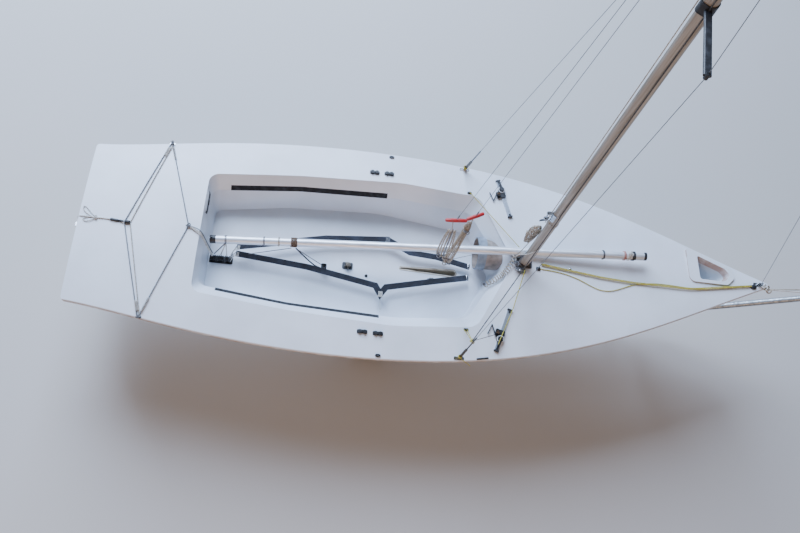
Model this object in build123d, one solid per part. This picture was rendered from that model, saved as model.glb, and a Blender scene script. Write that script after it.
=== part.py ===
from build123d import *
import os
from math import atan2, cos, degrees, hypot, radians, sin, tan

# Two-person trapeze sailing dinghy standing on its launching trolley.
# Boat frame while drawing: x forward from the transom, y to port, z up from the lowest hull point.
# Everything is moved once, at the end, to the stored frame: x = y = 0 at the middle, z = 0 on the ground.

# Hull
HULL_LENGTH = 4390.0
SHEER_AFT = 400.0            # height of the deck edge aft
SHEER_RISE = 120.0           # how much the deck edge climbs to the bow
SHEER_START = 0.40           # share of the length where the climb begins
FLANGE_DEPTH = 24.0          # height of the gunwale edge of the deck moulding
FLANGE_OVERHANG = 9.0        # gunwale outside the topside
TRANSOM_CORNER = 32.0        # plan radius where the side turns into the transom
TRANSOM_SPREAD = 0.17        # how fast the side widens from the transom
# Stations: x at deck, x at keel, half breadth, crown, bilge half breadth, bilge z, keel z, bilge r, keel r
STATIONS = [
    (0.0, 0.0, 528.0, 20.0, 440.0, 130.0, 62.0, 70.0, 900.0),
    (900.0, 900.0, 660.0, 26.0, 560.0, 112.0, 18.0, 95.0, 1200.0),
    (1750.0, 1750.0, 710.0, 30.0, 600.0, 105.0, 0.0, 105.0, 1200.0),
    (2400.0, 2400.0, 672.0, 30.0, 545.0, 112.0, 0.0, 110.0, 900.0),
    (3000.0, 2990.0, 560.0, 28.0, 410.0, 140.0, 12.0, 110.0, 500.0),
    (3600.0, 3570.0, 358.0, 22.0, 225.0, 200.0, 42.0, 80.0, 150.0),
    (4080.0, 4030.0, 150.0, 10.0, 84.0, 290.0, 100.0, 40.0, 40.0),
    (4390.0, 4330.0, 16.0, 1.0, 11.0, 360.0, 205.0, 4.0, 4.0),
]

# Cockpit: each level is z and its corner points (x, half width, corner radius), aft to forward
RIM_Z = 424.0
CREASE_Z = 338.0
SOLE_Z = 150.0
WALL = 14.0                  # thickness of the cockpit moulding
RIM_OUTLINE = [(724, 408, 66), (1300, 466, 900), (1960, 502, 900), (2475, 452, 110), (2702, 0, 60)]
CREASE_OUTLINE = [(744, 326, 60), (1300, 388, 900), (1960, 414, 900), (2430, 372, 100), (2655, 0, 55)]
SOLE_OUTLINE = [(762, 272, 45), (1220, 348, 900), (1830, 382, 900), (2440, 305, 80), (2600, 0, 50)]

# Daggerboard case
SLOT_AFT = 2008.0
SLOT_FORWARD = 2382.0
SLOT_WIDTH = 40.0
SLOT_AFT_RADIUS = 4.0
CASE_WALL = 9.0
CASE_LIP = 3.0               # how far the case stands above the sole

# Spinnaker chute
CHUTE_MIDDLE = (4000.0, 90.0)
# Plan corners of the lip, of the mouth in it and of the throat below, each as x, y, radius
CHUTE_LIP = [(3857, 224, 14), (3865, -17, 42), (4118, -25, 34), (4166, 26, 30), (4150, 92, 14)]
CHUTE_MOUTH = [(3925, 176, 8), (3934, 2, 20), (4106, -4, 30), (4146, 46, 26), (4110, 92, 40)]
CHUTE_THROAT = [(3930, 120, 8), (3936, 10, 18), (4034, 6, 22), (4054, 28, 18), (4036, 58, 20)]
CHUTE_LIP_HEIGHT = 14.0
CHUTE_LIP_ROOT = 12.0        # depth of the lip's foot in the deck
CHUTE_DEPTH = 165.0          # throat below the deck edge
CHUTE_DUCT_RADIUS = 66.0     # round duct that leads aft from the throat
CHUTE_DUCT_LENGTH = 90.0
CHUTE_DUCT_START = 50.0      # inside the mouth, from its after edge
CHUTE_DUCT_DROP = 88.0       # its axis below the deck edge
CHUTE_TUBE_RADIUS = 101.0
CHUTE_TUBE_WALL = 3.0
CHUTE_TUBE_Y = 105.0
CHUTE_TUBE_Z = 292.0
CHUTE_TUBE_AFT = 2484.0
CHUTE_TUBE_LENGTH = 332.0
CHUTE_LIP_SLOPE = 0.06
CHUTE_COLLAR_LENGTH = 58.0
CHUTE_COLLAR_THICKNESS = 5.0

# Mast and standing rigging
MAST_X = 2768.0
MAST_RAKE = 0.02             # aft lean per unit of height
STEP_PLATE = 6.0
GOOSENECK_PIN_RADIUS = 4.0
MAST_LENGTH = 5800.0
MAST_FORE_AFT = 62.0
MAST_ACROSS = 52.0
MAST_WALL = 2.0
MAST_TAIL_RADIUS = 14.0      # after end of the section, round the luff groove
LUFF_GROOVE_RADIUS = 4.5
STEP_HEIGHT = 22.0
SLEEVE_HEIGHT = 590.0        # joint collar above the heel
SPREADER_HEIGHT = 2370.0
SPREADER_OUT = 345.0
SPREADER_AFT = 64.0
SPREADER_UP = 78.0
HOUNDS_HEIGHT = 4400.0
STAY_RADIUS = 1.5
ADJUSTER_LENGTH = 130.0
BOW_PLATE_X = 4325.0
BOW_EYE = 5.0
CHAINPLATE_X = 2370.0
CHAINPLATE_INSET = 18.0      # from the gunwale to the plate's middle
CHAINPLATE_THICKNESS = 3.0
CHAINPLATE_LUG = 26.0        # from the deck to the eye
CHAINPLATE_EDGE = 10.0       # metal round the eye
LINK_GAP = 0.8               # between the lug and each adjuster plate
CHAINPLATE_EYE = 3.2

# Boom, unshipped and lying in the boat
BOOM_RADIUS = 26.0
BOOM_WALL = 2.0
BOOM_AFT = (812.0, 2.0, 294.0)
BOOM_REST = (2690.0, 66.0)   # plan point where it lies on the cockpit's front rim
BOOM_FORWARD_X = 3530.0
BOOM_CAP = 18.0
BOOM_SHEAVE_CAP = 38.0       # the longer after cap, slotted for the outhaul
BOOM_SEAT = 2.0              # air under the boom where it lies on the rim

# Deck fittings
TRACK_INNER = (2677.0, 328.0)
TRACK_OUTER = (2600.0, 585.0)
TRACK_WIDTH = 26.0
TRACK_HEIGHT = 8.0
TRACK_HOLE_PITCH = 20.0
TRACK_HOLE_RADIUS = 3.0
CAR_SHIFT = 30.0             # car's place along the track, outboard of its middle
CAR_HEAD = 33.0              # from the car's middle out to its swivel head
CAR_LEVER = 92.0             # from the car's middle out to the lever's tail
CLEAT_POSITIONS = [(1770.0, 548.0), (1866.0, 550.0)]
CLEAT_BASE = (64.0, 24.0, 5.0)
CAM_SPACING = 30.0           # between the two cam pivots
CAM_RADIUS = 11.5
CAM_HEIGHT = 11.0
CAM_TEETH = 6
BULLSEYE = (1876.0, 684.0)
BRIDLE_EYE = (458.0, 588.0)
FAIRLEAD = (2407.0, 474.0)
STRIP_START = 860.0
STRIP_END = 1870.0
STRIP_THICKNESS = 3.0
STRIP_TOP = 23.0             # above the crease
STRAP_WIDTH = 40.0
STRAP_THICKNESS = 3.0
HATCH_SIZE = (150.0, 62.0)   # across the boat, up the wall
HATCH_Y = 210.0
SHEAVE_RADIUS = 17.0
SHEAVE_WIDTH = 8.0
SHEAVE_PLAY = 0.6            # between a sheave and its two cheeks
SOLE_BLOCK = (1503.0, -60.0)
CHEEK_THICKNESS = 3.0
SHROUD_SLEEVE = 168.0        # length of the sleeve above each adjuster
SHROUD_SLEEVE_RADIUS = 4.5

# Launching trolley
GROUND_CLEARANCE = 362.0     # lowest hull point above the ground
WHEEL_RADIUS = 200.0
TYRE_WIDTH = 95.0
RIM_RADIUS = 105.0
TRACK = 930.0                # between the middles of the two tyres
AXLE_X = 1870.0
AXLE_RADIUS = 20.0
STUB_RADIUS = 10.0
BEARING_PLAY = 0.06
DRAWBAR_RADIUS = 20.0
HANDLE_X = 4955.0
HANDLE_Z = 532.0
HANDLE_WIDTH = 560.0
NECK_SLOPE = 0.69            # climb of the drawbar's neck
NECK_RADIUS = 260.0
HUB_WIDTH = 110.0
RIM_WIDTH = 78.0
BUNK_Y = 300.0
BUNK_LENGTH = 420.0
BUNK_TOP = 6.0
PAD_THICKNESS = 26.0
CHOCK_X = 3780.0
CHOCK_TOP = 10.0
LEG_X = 3560.0
HANDLE_RADIUS = 15.0
GRIP_LENGTH = 120.0
GRIP_WALL = 4.0
SADDLE_PLAY = 0.5            # round a tube where a trolley bracket holds it

GUDGEON_PROJECTION = 46.0
GUDGEON_HEIGHTS = (300.0, 130.0)
GUDGEON_BORE = 5.0
GUDGEON_LUG = 12.0

ORIGIN_X = (HANDLE_X + HANDLE_RADIUS + GRIP_WALL - GUDGEON_PROJECTION) / 2
NODES = {}


def add(name, shape, colour):
    """Keep one node, moved to the stored frame."""
    shape = Pos(-ORIGIN_X, 0, GROUND_CLEARANCE) * shape
    shape.color = Color(colour)
    NODES[name] = shape
    return shape


def sheer(x):
    """Height of the deck edge at x."""
    start = SHEER_START * HULL_LENGTH
    rise = max(0.0, (x - start) / (HULL_LENGTH - start))
    return SHEER_AFT + SHEER_RISE * rise ** 2


def between(x, column):
    """A station value at x, in line between the stations on each side."""
    for a, b in zip(STATIONS, STATIONS[1:]):
        if x <= b[0]:
            share = (x - a[0]) / (b[0] - a[0])
            return a[column] + (b[column] - a[column]) * share
    return STATIONS[-1][column]


def deck_z(x, y):
    """Height of the crowned deck at a plan point."""
    across = min(1.0, abs(y) / between(x, 2))
    return sheer(x) + between(x, 3) * (1 - across ** 2)


def rod(a, b, radius, bore=0.0):
    """A round bar, or a tube where a bore is given, from a to b."""
    a, b = Vector(*a), Vector(*b)
    axis = Plane(origin=a, z_dir=b - a)
    length = (b - a).length
    bar = axis * extrude(Circle(radius), length)
    if bore:
        bar -= axis * Pos(0, 0, -1) * extrude(Circle(bore), length + 2)
    return bar


def both_sides(shape):
    """The shape with its mirror image on the other side of the boat."""
    return [shape, mirror(shape, Plane.XZ)]


# Hull and deck
def hull_section(station, inset, top):
    """One closed section: topsides and rounded bottom, up to a height above the deck edge."""
    x_deck, x_keel, half, crown, bilge_half, bilge_z, keel_z, bilge_radius, keel_radius = station
    edge_z = sheer(x_deck)
    plane = Plane(origin=(x_deck, 0, edge_z), x_dir=(0, 1, 0),
                  z_dir=(edge_z - keel_z, 0, x_keel - x_deck))
    stretch = hypot(edge_z - keel_z, x_keel - x_deck) / (edge_z - keel_z)
    half = half - inset
    bilge_half = bilge_half - inset * 0.5
    slope = (half - bilge_half) / (edge_z - bilge_z)
    head = half + slope * top
    points = [
        (head, top * stretch),
        (bilge_half, (bilge_z - edge_z) * stretch),
        (0, (keel_z - edge_z) * stretch),
        (-bilge_half, (bilge_z - edge_z) * stretch),
        (-head, top * stretch),
    ]
    bottom_angle = degrees(atan2(bilge_z - keel_z, bilge_half))
    keel_limit = 0.30 * bilge_half / max(0.02, sin(radians(bottom_angle)))
    line = FilletPolyline(*points, radius=[bilge_radius, min(keel_radius, keel_limit), bilge_radius])
    return plane * make_face(line + Line(points[-1], points[0]))


def deck_section(station):
    """One closed section of the deck moulding before the cockpit is cut: crown above, flat below."""
    x_deck, half, crown = station[0], station[2], station[3]
    plane = Plane(origin=(x_deck, 0, sheer(x_deck)), x_dir=(0, 1, 0), z_dir=(1, 0, 0))
    edge = min(6.0, half * 0.3)
    top = ThreePointArc((-half + edge, 0), (0, crown), (half - edge, 0))
    rest = Polyline((half - edge, 0), (half, -edge), (half, -FLANGE_DEPTH), (-half, -FLANGE_DEPTH),
                    (-half, -edge), (-half + edge, 0))
    return plane * make_face(top + rest)


def level_face(outline, z, grow=0.0):
    """A closed cockpit outline at one level, made wider all round by grow."""
    aft = [(x - (grow if i == 0 else 0), y + grow, r + grow) for i, (x, y, r) in enumerate(outline[:-1])]
    apex_x, _, apex_radius = outline[-1]
    corner = aft[-1]
    aft[-1] = (corner[0] + grow * 0.6, corner[1], corner[2])
    ring = aft + [(apex_x + grow * 1.1, 0, apex_radius + grow)] + [(x, -y, r) for x, y, r in aft[::-1]]
    line = FilletPolyline(*[(x, y) for x, y, _ in ring], radius=[r for _, _, r in ring], close=True)
    return Pos(0, 0, z) * make_face(line)


def cockpit_body(grow, floor, above):
    """The cockpit space as a solid, grown by a wall thickness, from a floor height upwards."""
    sole = level_face(SOLE_OUTLINE, floor, grow)
    crease = level_face(CREASE_OUTLINE, CREASE_Z, grow)
    rim = level_face(RIM_OUTLINE, RIM_Z, grow)
    lower = loft([sole, crease], ruled=True)
    upper = loft([crease, rim], ruled=True)
    return lower + upper + extrude(rim, above)


def foil(aft, forward, aft_radius, forward_radius, grow=0.0):
    """A foil-shaped outline: an arc at each end of a stretch of x, joined by tangent lines."""
    circles = [
        Pos(forward - forward_radius, 0) * CenterArc((0, 0), forward_radius + grow, 0, 360),
        Pos(aft + aft_radius, 0) * CenterArc((0, 0), aft_radius + grow, 0, 360),
    ]
    return make_hull([edge for circle in circles for edge in circle.edges()])


def slot_face(grow):
    """Outline of the daggerboard slot."""
    return foil(SLOT_AFT, SLOT_FORWARD, SLOT_AFT_RADIUS, SLOT_WIDTH / 2, grow)


def rounded_plan(corners):
    """A closed plan outline from corners given as x, y, radius."""
    points = [(x, y) for x, y, _ in corners]
    return make_face(FilletPolyline(*points, radius=[r for _, _, r in corners], close=True))


def transom_corner(half, lean, depth):
    """What rounds a transom corner: a prism outside an arc that meets the transom and the side."""
    middle = (TRANSOM_SPREAD - hypot(1, TRANSOM_SPREAD)) * TRANSOM_CORNER
    ahead = TRANSOM_CORNER * (1 - TRANSOM_SPREAD / hypot(1, TRANSOM_SPREAD))
    waste = Pos(ahead / 2 - 5, middle + 50) * Rectangle(ahead + 10, 100)
    waste -= Pos(TRANSOM_CORNER, middle) * Circle(TRANSOM_CORNER)
    edge = Plane(origin=(0, half, sheer(0)), x_dir=(1, 0, 0), z_dir=(0, lean, 1))
    return edge * Pos(0, 0, -depth) * extrude(waste, depth + 60)


boat = loft([hull_section(s, FLANGE_OVERHANG, -FLANGE_DEPTH + 4) for s in STATIONS])
deck_blank = loft([deck_section(s) for s in STATIONS])
transom_half, bilge_half, bilge_height = STATIONS[0][2], STATIONS[0][4], STATIONS[0][5]
hull_half = transom_half - FLANGE_OVERHANG
side_lean = (hull_half - bilge_half + FLANGE_OVERHANG / 2) / (sheer(0) - bilge_height)
for side_cut in both_sides(transom_corner(hull_half, side_lean, sheer(0))):
    boat -= side_cut
for side_cut in both_sides(transom_corner(transom_half, 0.0, FLANGE_DEPTH + 4)):
    deck_blank -= side_cut


def deck_frame(x, y, turn=0.0):
    """A plane lying on the deck at a plan point, its x direction turned from forward."""
    hits = deck_blank.find_intersection_points(Axis((x, y, 2000), (0, 0, -1)))
    point, normal = max(hits, key=lambda hit: hit[0].Z)
    normal = normal if normal.Z > 0 else normal * -1
    ahead = Vector(cos(radians(turn)), sin(radians(turn)), 0)
    ahead = ahead - normal * ahead.dot(normal)
    return Plane(origin=point, x_dir=ahead, z_dir=normal)


def on_deck(x, y, turn, shape):
    """A fitting drawn on its own base plane, put on the deck and scribed to its camber."""
    return deck_frame(x, y, turn) * shape - deck_blank


cockpit_space = cockpit_body(0.0, SOLE_Z, 160.0)
lining = cockpit_body(WALL, SOLE_Z - WALL, 2.0) & boat
slot_shaft = Pos(0, 0, -20) * extrude(slot_face(0.0), SOLE_Z + 40)
case_shaft = Pos(0, 0, -20) * extrude(slot_face(CASE_WALL), SOLE_Z + 20 + CASE_LIP)
chute_edge = sheer(CHUTE_MIDDLE[0])
funnel = loft([Pos(0, 0, chute_edge - CHUTE_DEPTH) * rounded_plan(CHUTE_THROAT),
               Pos(0, 0, chute_edge + 50) * rounded_plan(CHUTE_MOUTH)], ruled=True)
duct_x = CHUTE_MOUTH[0][0] + CHUTE_DUCT_START
duct = Plane(origin=(duct_x, CHUTE_MIDDLE[1], chute_edge - CHUTE_DUCT_DROP), z_dir=(-1, 0, 0)) * extrude(
    Circle(CHUTE_DUCT_RADIUS), CHUTE_DUCT_START + CHUTE_DUCT_LENGTH)
mouth_shaft = funnel + duct
tube_axis = Plane(origin=(CHUTE_TUBE_AFT, CHUTE_TUBE_Y, CHUTE_TUBE_Z), z_dir=(1, 0, 0))
tube_solid = tube_axis * extrude(Circle(CHUTE_TUBE_RADIUS), CHUTE_TUBE_LENGTH)

collar_outer = CHUTE_TUBE_RADIUS + CHUTE_COLLAR_THICKNESS
tube_and_collar = tube_solid + tube_axis * extrude(Circle(collar_outer), CHUTE_COLLAR_LENGTH)
deck = (deck_blank - mouth_shaft + (lining - cockpit_space)) - cockpit_space - case_shaft - tube_and_collar
hull = boat - deck_blank - lining - case_shaft - mouth_shaft - tube_and_collar
case = ((case_shaft & boat) - slot_shaft)
add("hull_moulding", hull, 0xE9ECEF)
add("deck_moulding", deck, 0xF4F5F6)
add("daggerboard_case", case, 0xDADCDC)

# Spinnaker chute: raised lip round the mouth, and the tube that comes out over the cockpit sole
lip_plane = Plane(origin=(*CHUTE_MIDDLE, deck_z(*CHUTE_MIDDLE)), x_dir=(1, 0, CHUTE_LIP_SLOPE),
                  z_dir=(-CHUTE_LIP_SLOPE, 0, 1))
lip = lip_plane * Pos(-CHUTE_MIDDLE[0], -CHUTE_MIDDLE[1], -CHUTE_LIP_ROOT) * extrude(
    rounded_plan(CHUTE_LIP), CHUTE_LIP_ROOT + CHUTE_LIP_HEIGHT)
add("chute_mouth", lip - funnel - deck_blank, 0xEEF0F2)
tube = tube_solid - tube_axis * Pos(0, 0, -1) * extrude(Circle(CHUTE_TUBE_RADIUS - CHUTE_TUBE_WALL),
                                                       CHUTE_TUBE_LENGTH - 4)
collar = tube_axis * extrude(Circle(collar_outer) - Circle(CHUTE_TUBE_RADIUS), CHUTE_COLLAR_LENGTH)
add("chute_tube", tube, 0x9A8F86)
add("chute_collar", collar, 0x8A97A3)

# Grip strips along the crease of each cockpit side
inner_skin = cockpit_space - cockpit_body(-STRIP_THICKNESS, SOLE_Z - 10, 160.0)
strip_window = Pos((STRIP_START + STRIP_END) / 2, 500, CREASE_Z + STRIP_TOP / 2) * Box(
    STRIP_END - STRIP_START, 1000, STRIP_TOP)
for side, strip in zip(("port", "starboard"), both_sides(inner_skin & strip_window)):
    add(f"{side}_grip_strip", strip, 0x17181B)

# Mast step, mast and its fittings
step_plane = deck_frame(MAST_X, 0)
MAST_HEEL_Z = step_plane.origin.Z + STEP_PLATE
mast_axis = Plane(origin=(MAST_X, 0, MAST_HEEL_Z), x_dir=(1, 0, MAST_RAKE), z_dir=(-MAST_RAKE, 0, 1))


def mast_outline(grow=0.0):
    """Outside of the mast's extrusion, narrower aft where the luff groove is."""
    return foil(-MAST_FORE_AFT / 2, MAST_FORE_AFT / 2, MAST_TAIL_RADIUS, MAST_ACROSS / 2, grow)


groove = Pos(-MAST_FORE_AFT / 2 + LUFF_GROOVE_RADIUS + MAST_WALL, 0) * (
    Circle(LUFF_GROOVE_RADIUS) + Pos(-10, 0) * Rectangle(20, 3))
hollow = mast_outline(-MAST_WALL) - Pos(-MAST_FORE_AFT / 2, 0) * Rectangle(2 * MAST_TAIL_RADIUS, MAST_ACROSS)
mast = mast_axis * extrude(mast_outline() - groove - hollow, MAST_LENGTH)
add("mast_tube", mast, 0xA79F92)
step_plate = extrude(RectangleRounded(104, 64, 10), STEP_PLATE + 12)
step = step_plane * step_plate - deck_blank - Pos(0, 0, MAST_HEEL_Z + 250) * Box(9000, 900, 500)
cup = mast_axis * extrude(mast_outline(4) - mast_outline(), STEP_HEIGHT)
step -= mast_axis * Pos(0, 0, -20) * extrude(mast_outline(), 100)
add("mast_step", step + cup, 0x1C1D20)
sleeve = mast_axis * Pos(0, 0, SLEEVE_HEIGHT) * extrude(mast_outline(2.5) - mast_outline(), 26)
add("mast_sleeve", sleeve, 0x8D867B)

GOOSENECK_HEIGHT = SLEEVE_HEIGHT + 60
saddle = extrude(mast_outline(4) - mast_outline() - Pos(20, 0) * Rectangle(40 + MAST_FORE_AFT / 2, 90), 70)
lugs = Pos(-MAST_FORE_AFT / 2 - 20, 0, 0) * (
    extrude(RectangleRounded(34, 20, 8), 6) + Pos(0, 0, 64) * extrude(RectangleRounded(34, 20, 8), 6))
gooseneck_pin = Pos(-MAST_FORE_AFT / 2 - 27, 0, -4) * extrude(Circle(GOOSENECK_PIN_RADIUS), 78)
gooseneck = mast_axis * Pos(0, 0, GOOSENECK_HEIGHT) * (saddle + lugs + gooseneck_pin)
add("gooseneck", gooseneck, 0x2A2B2E)

bracket = extrude(mast_outline(5), 50)
tip = Vector(-SPREADER_AFT, SPREADER_OUT, SPREADER_UP)
root_point = Vector(0, MAST_ACROSS / 4, 25)
arm_plane = Plane(origin=root_point, x_dir=(1, 0, 0), z_dir=tip - root_point)
arm = arm_plane * extrude(SlotOverall(30, 12), (tip - root_point).length) + Pos(*tip) * Cylinder(9, 26)
spreaders = bracket + arm + mirror(arm, Plane.XZ) - Pos(0, 0, -5) * extrude(mast_outline(), 60)
spreaders = mast_axis * Pos(0, 0, SPREADER_HEIGHT) * spreaders
add("spreaders", spreaders, 0x1B1C1F)
spreader_tips = [mast_axis.from_local_coords(Vector(tip.X, side * tip.Y, tip.Z + SPREADER_HEIGHT))
                 for side in (1, -1)]

hounds = extrude(mast_outline(3) - mast_outline(), 60)
tangs = [Pos(0, side * (MAST_ACROSS / 2 + 3.5), 0) * Box(22, 3, 70) for side in (1, -1)]
tangs.append(Pos(MAST_FORE_AFT / 2 + 3.5, 0, 0) * Box(3, 22, 70))
for tang in tangs:
    hounds += tang
hounds = mast_axis * Pos(0, 0, HOUNDS_HEIGHT) * hounds
add("hounds", hounds, 0xB9BCC0)
masthead = mast_axis * Pos(0, 0, MAST_LENGTH) * (
    extrude(mast_outline(1.5), 8) + Pos(-30, 0, 8) * extrude(RectangleRounded(90, 16, 6), 26))
add("masthead", masthead, 0x232427)

# Standing rigging: chainplates through the gunwale, adjuster plates, and the three stays
hound_points = [mast_axis.from_local_coords(Vector(0, side * (MAST_ACROSS / 2 + 6.5), HOUNDS_HEIGHT - 28))
                for side in (1, -1)]
stay_colour = 0xA8ABAE
chainplates = []
for side, sign, tip_point, top in zip(("port", "starboard"), (1, -1), spreader_tips, hound_points):
    foot_point = deck_frame(CHAINPLATE_X, sign * (between(CHAINPLATE_X, 2) - CHAINPLATE_INSET)).origin
    toward = (tip_point - foot_point).normalized()
    eye = foot_point + toward * CHAINPLATE_LUG
    # Bent to the line of the shroud: local z runs up the shroud, local y across the plate
    line = Plane(origin=eye, x_dir=Vector(1, 0, 0) - toward * toward.X, z_dir=toward)
    lug = Pos(0, 0, -CHAINPLATE_LUG - 8) * extrude(
        Rectangle(26, CHAINPLATE_THICKNESS), CHAINPLATE_LUG + 8 + CHAINPLATE_EDGE)
    base = on_deck(foot_point.X, foot_point.Y, 0, Pos(0, 0, -4) * extrude(RectangleRounded(64, 20, 6), 7))
    eye_bore = Rot(90, 0, 0) * Cylinder(CHAINPLATE_EYE, 20)
    chainplates.append(base + (line * (lug - eye_bore) - deck_blank))
    links = []
    for face in (1, -1):
        link = Pos(0, face * (CHAINPLATE_THICKNESS / 2 + LINK_GAP + 1), -CHAINPLATE_EDGE + 1) * extrude(
            Rectangle(15, 2), ADJUSTER_LENGTH)
        links.append(link)
    spread = CHAINPLATE_THICKNESS + 2 * LINK_GAP + 4
    pin = Rot(90, 0, 0) * Cylinder(CHAINPLATE_EYE, spread + 4)
    head = Pos(0, 0, ADJUSTER_LENGTH - 34) * extrude(Rectangle(11, spread - 1), 22)
    add(f"{side}_shroud_adjuster", line * (links[0] + links[1] + pin + head), 0xB4B7BB)
    start = eye + toward * (ADJUSTER_LENGTH - 12)
    lower = rod(start, tip_point, STAY_RADIUS)
    upper = rod(tip_point, top, STAY_RADIUS)
    sleeve_foot = eye + toward * (ADJUSTER_LENGTH - CHAINPLATE_EDGE + 3)
    stay_sleeve = rod(sleeve_foot, sleeve_foot + toward * SHROUD_SLEEVE, SHROUD_SLEEVE_RADIUS)
    add(f"{side}_shroud", lower + upper + stay_sleeve - spreaders - hounds, stay_colour)
add("chainplates", Compound(children=chainplates), 0xB4B7BB)

bow_base = deck_frame(BOW_PLATE_X, 0)
bow_plate = bow_base * extrude(RectangleRounded(64, 24, 5), 3)
lug = Pos(BOW_PLATE_X + 6, 0, bow_base.origin.Z + 14) * Box(34, 4, 34)
lug_eye = Vector(BOW_PLATE_X + 12, 0, bow_base.origin.Z + 22)
bow_fitting = (bow_plate + lug - deck_blank) - Pos(*lug_eye) * Rot(90, 0, 0) * Cylinder(BOW_EYE, 20)
add("bow_fitting", bow_fitting, 0xB4B7BB)
forestay_top = mast_axis.from_local_coords(Vector(MAST_FORE_AFT / 2 + 7, 0, HOUNDS_HEIGHT - 20))
forestay = rod(lug_eye + Vector(-2, 0, BOW_EYE + 3), forestay_top, STAY_RADIUS) - hounds - bow_fitting
add("forestay", forestay, stay_colour)

# Boom, lying on the front rim of the cockpit with its after end low in the cockpit
rest_point = deck_frame(*BOOM_REST).origin
boom_start = Vector(*BOOM_AFT)
boom_dir = (rest_point + Vector(0, 0, BOOM_RADIUS + BOOM_SEAT) - boom_start).normalized()
boom_length = (BOOM_FORWARD_X - boom_start.X) / boom_dir.X
boom_end = boom_start + boom_dir * boom_length
boom_axis = Plane(origin=boom_start, x_dir=(0, 1, 0), z_dir=boom_dir)
add("boom_tube", rod(boom_start, boom_end, BOOM_RADIUS, BOOM_RADIUS - BOOM_WALL), 0xC9CCD0)
plug = extrude(Circle(BOOM_RADIUS - BOOM_WALL), 12)
cap = plug + Pos(0, 0, -BOOM_CAP) * extrude(Circle(BOOM_RADIUS), BOOM_CAP)
sheave_cap = plug + Pos(0, 0, -BOOM_SHEAVE_CAP) * extrude(Circle(BOOM_RADIUS), BOOM_SHEAVE_CAP)
sheave_cap -= Pos(0, 0, -BOOM_SHEAVE_CAP) * Box(10, 3 * BOOM_RADIUS, BOOM_SHEAVE_CAP)
add("boom_aft_cap", boom_axis * sheave_cap, 0x1C1D20)
front_axis = Plane(origin=boom_end, x_dir=(0, 1, 0), z_dir=boom_dir * -1)
add("boom_forward_cap", front_axis * cap, 0x1C1D20)

# Jib tracks with their end stops and cars
track_run = Vector(TRACK_OUTER[0] - TRACK_INNER[0], TRACK_OUTER[1] - TRACK_INNER[1])
track_turn = degrees(atan2(track_run.Y, track_run.X))
track_mid = ((TRACK_INNER[0] + TRACK_OUTER[0]) / 2, (TRACK_INNER[1] + TRACK_OUTER[1]) / 2)
bar = Pos(0, 0, -6) * extrude(Rectangle(track_run.length, TRACK_WIDTH), 6 + TRACK_HEIGHT)
half_holes = int((track_run.length / 2 - 20) / TRACK_HOLE_PITCH)
for place in range(-half_holes, half_holes + 1):
    bar -= Pos(place * TRACK_HOLE_PITCH, 0, TRACK_HEIGHT - 4) * extrude(Circle(TRACK_HOLE_RADIUS), 5)
tracks = on_deck(*track_mid, track_turn, bar)
stops = Part()
for end in (-1, 1):
    cross_bar = Pos(end * (track_run.length / 2 + 5), 0, -6) * extrude(
        RectangleRounded(10, TRACK_WIDTH + 6, 3), 6 + TRACK_HEIGHT + 6)
    stem = Pos(end * (track_run.length / 2 - 6), 0, TRACK_HEIGHT) * extrude(RectangleRounded(16, 12, 3), 6)
    stops += cross_bar + stem
stop_pair = on_deck(*track_mid, track_turn, stops)


def car_drawing():
    """One jib car as it sits on its track: x outboard along the track, y aft across it."""
    top = TRACK_HEIGHT + 8
    base = Pos(0, 14, TRACK_HEIGHT) * extrude(RectangleRounded(48, 60, 6), 8)
    ring = Pos(CAR_HEAD, 0, TRACK_HEIGHT) * extrude(Circle(24), 8)
    head = Pos(CAR_HEAD, 0, top) * extrude(Circle(14), 14)
    ends = [Pos(CAR_HEAD, 0) * CenterArc((0, 0), 12, 0, 360), Pos(CAR_LEVER, 0) * CenterArc((0, 0), 5, 0, 360)]
    lever = Pos(0, 0, top + 3) * extrude(make_hull([edge for end in ends for edge in end.edges()]), 7)
    sheave = Pos(0, 32, top) * extrude(Circle(9), 10)
    cheek = Pos(0, 32, top + 10) * extrude(Circle(14), 3)
    arm = rod((22, 34, TRACK_HEIGHT + 4), (-36, 76, TRACK_HEIGHT + 4), 3.5)
    arm += Pos(-36, 76, TRACK_HEIGHT + 4) * Sphere(3.5)
    arm += rod((-36, 76, TRACK_HEIGHT + 4), (30, 84, TRACK_HEIGHT + 4), 3.5)
    return Pos(CAR_SHIFT, 0, 0) * (base + ring + head + lever + sheave + cheek + arm)


car = on_deck(*track_mid, track_turn, car_drawing())
for side, rail, stop, wagon in zip(("port", "starboard"), both_sides(tracks), both_sides(stop_pair),
                                   both_sides(car)):
    add(f"{side}_jib_track", rail, 0xC4C8CC)
    add(f"{side}_track_stops", stop, 0x1B1C1F)
    add(f"{side}_jib_car", wagon, 0x222326)

# Cleats, fairleads and bridle eyes
def cam_cleat():
    """A cam cleat: base plate, and two cams on upright pivots with teeth where they face each other."""
    length, width, thickness = CLEAT_BASE
    plate = Pos(0, 0, -4) * extrude(RectangleRounded(length, width, 7), 4 + thickness)
    cleat = plate
    for end in (-1, 1):
        outline = Sketch() + Circle(CAM_RADIUS)
        for tooth in range(CAM_TEETH):
            swing = (tooth - (CAM_TEETH - 1) / 2) * 20
            outline += Rot(0, 0, swing) * Pos(CAM_RADIUS, 0) * Rectangle(3.2, 2)
        heading = 0 if end < 0 else 180
        cam = Rot(0, 0, heading) * extrude(outline, CAM_HEIGHT)
        boss = Pos(0, 0, CAM_HEIGHT) * extrude(Circle(5), 2)
        cleat += Pos(end * CAM_SPACING / 2, 0, thickness) * (cam + boss)
    return cleat


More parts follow.
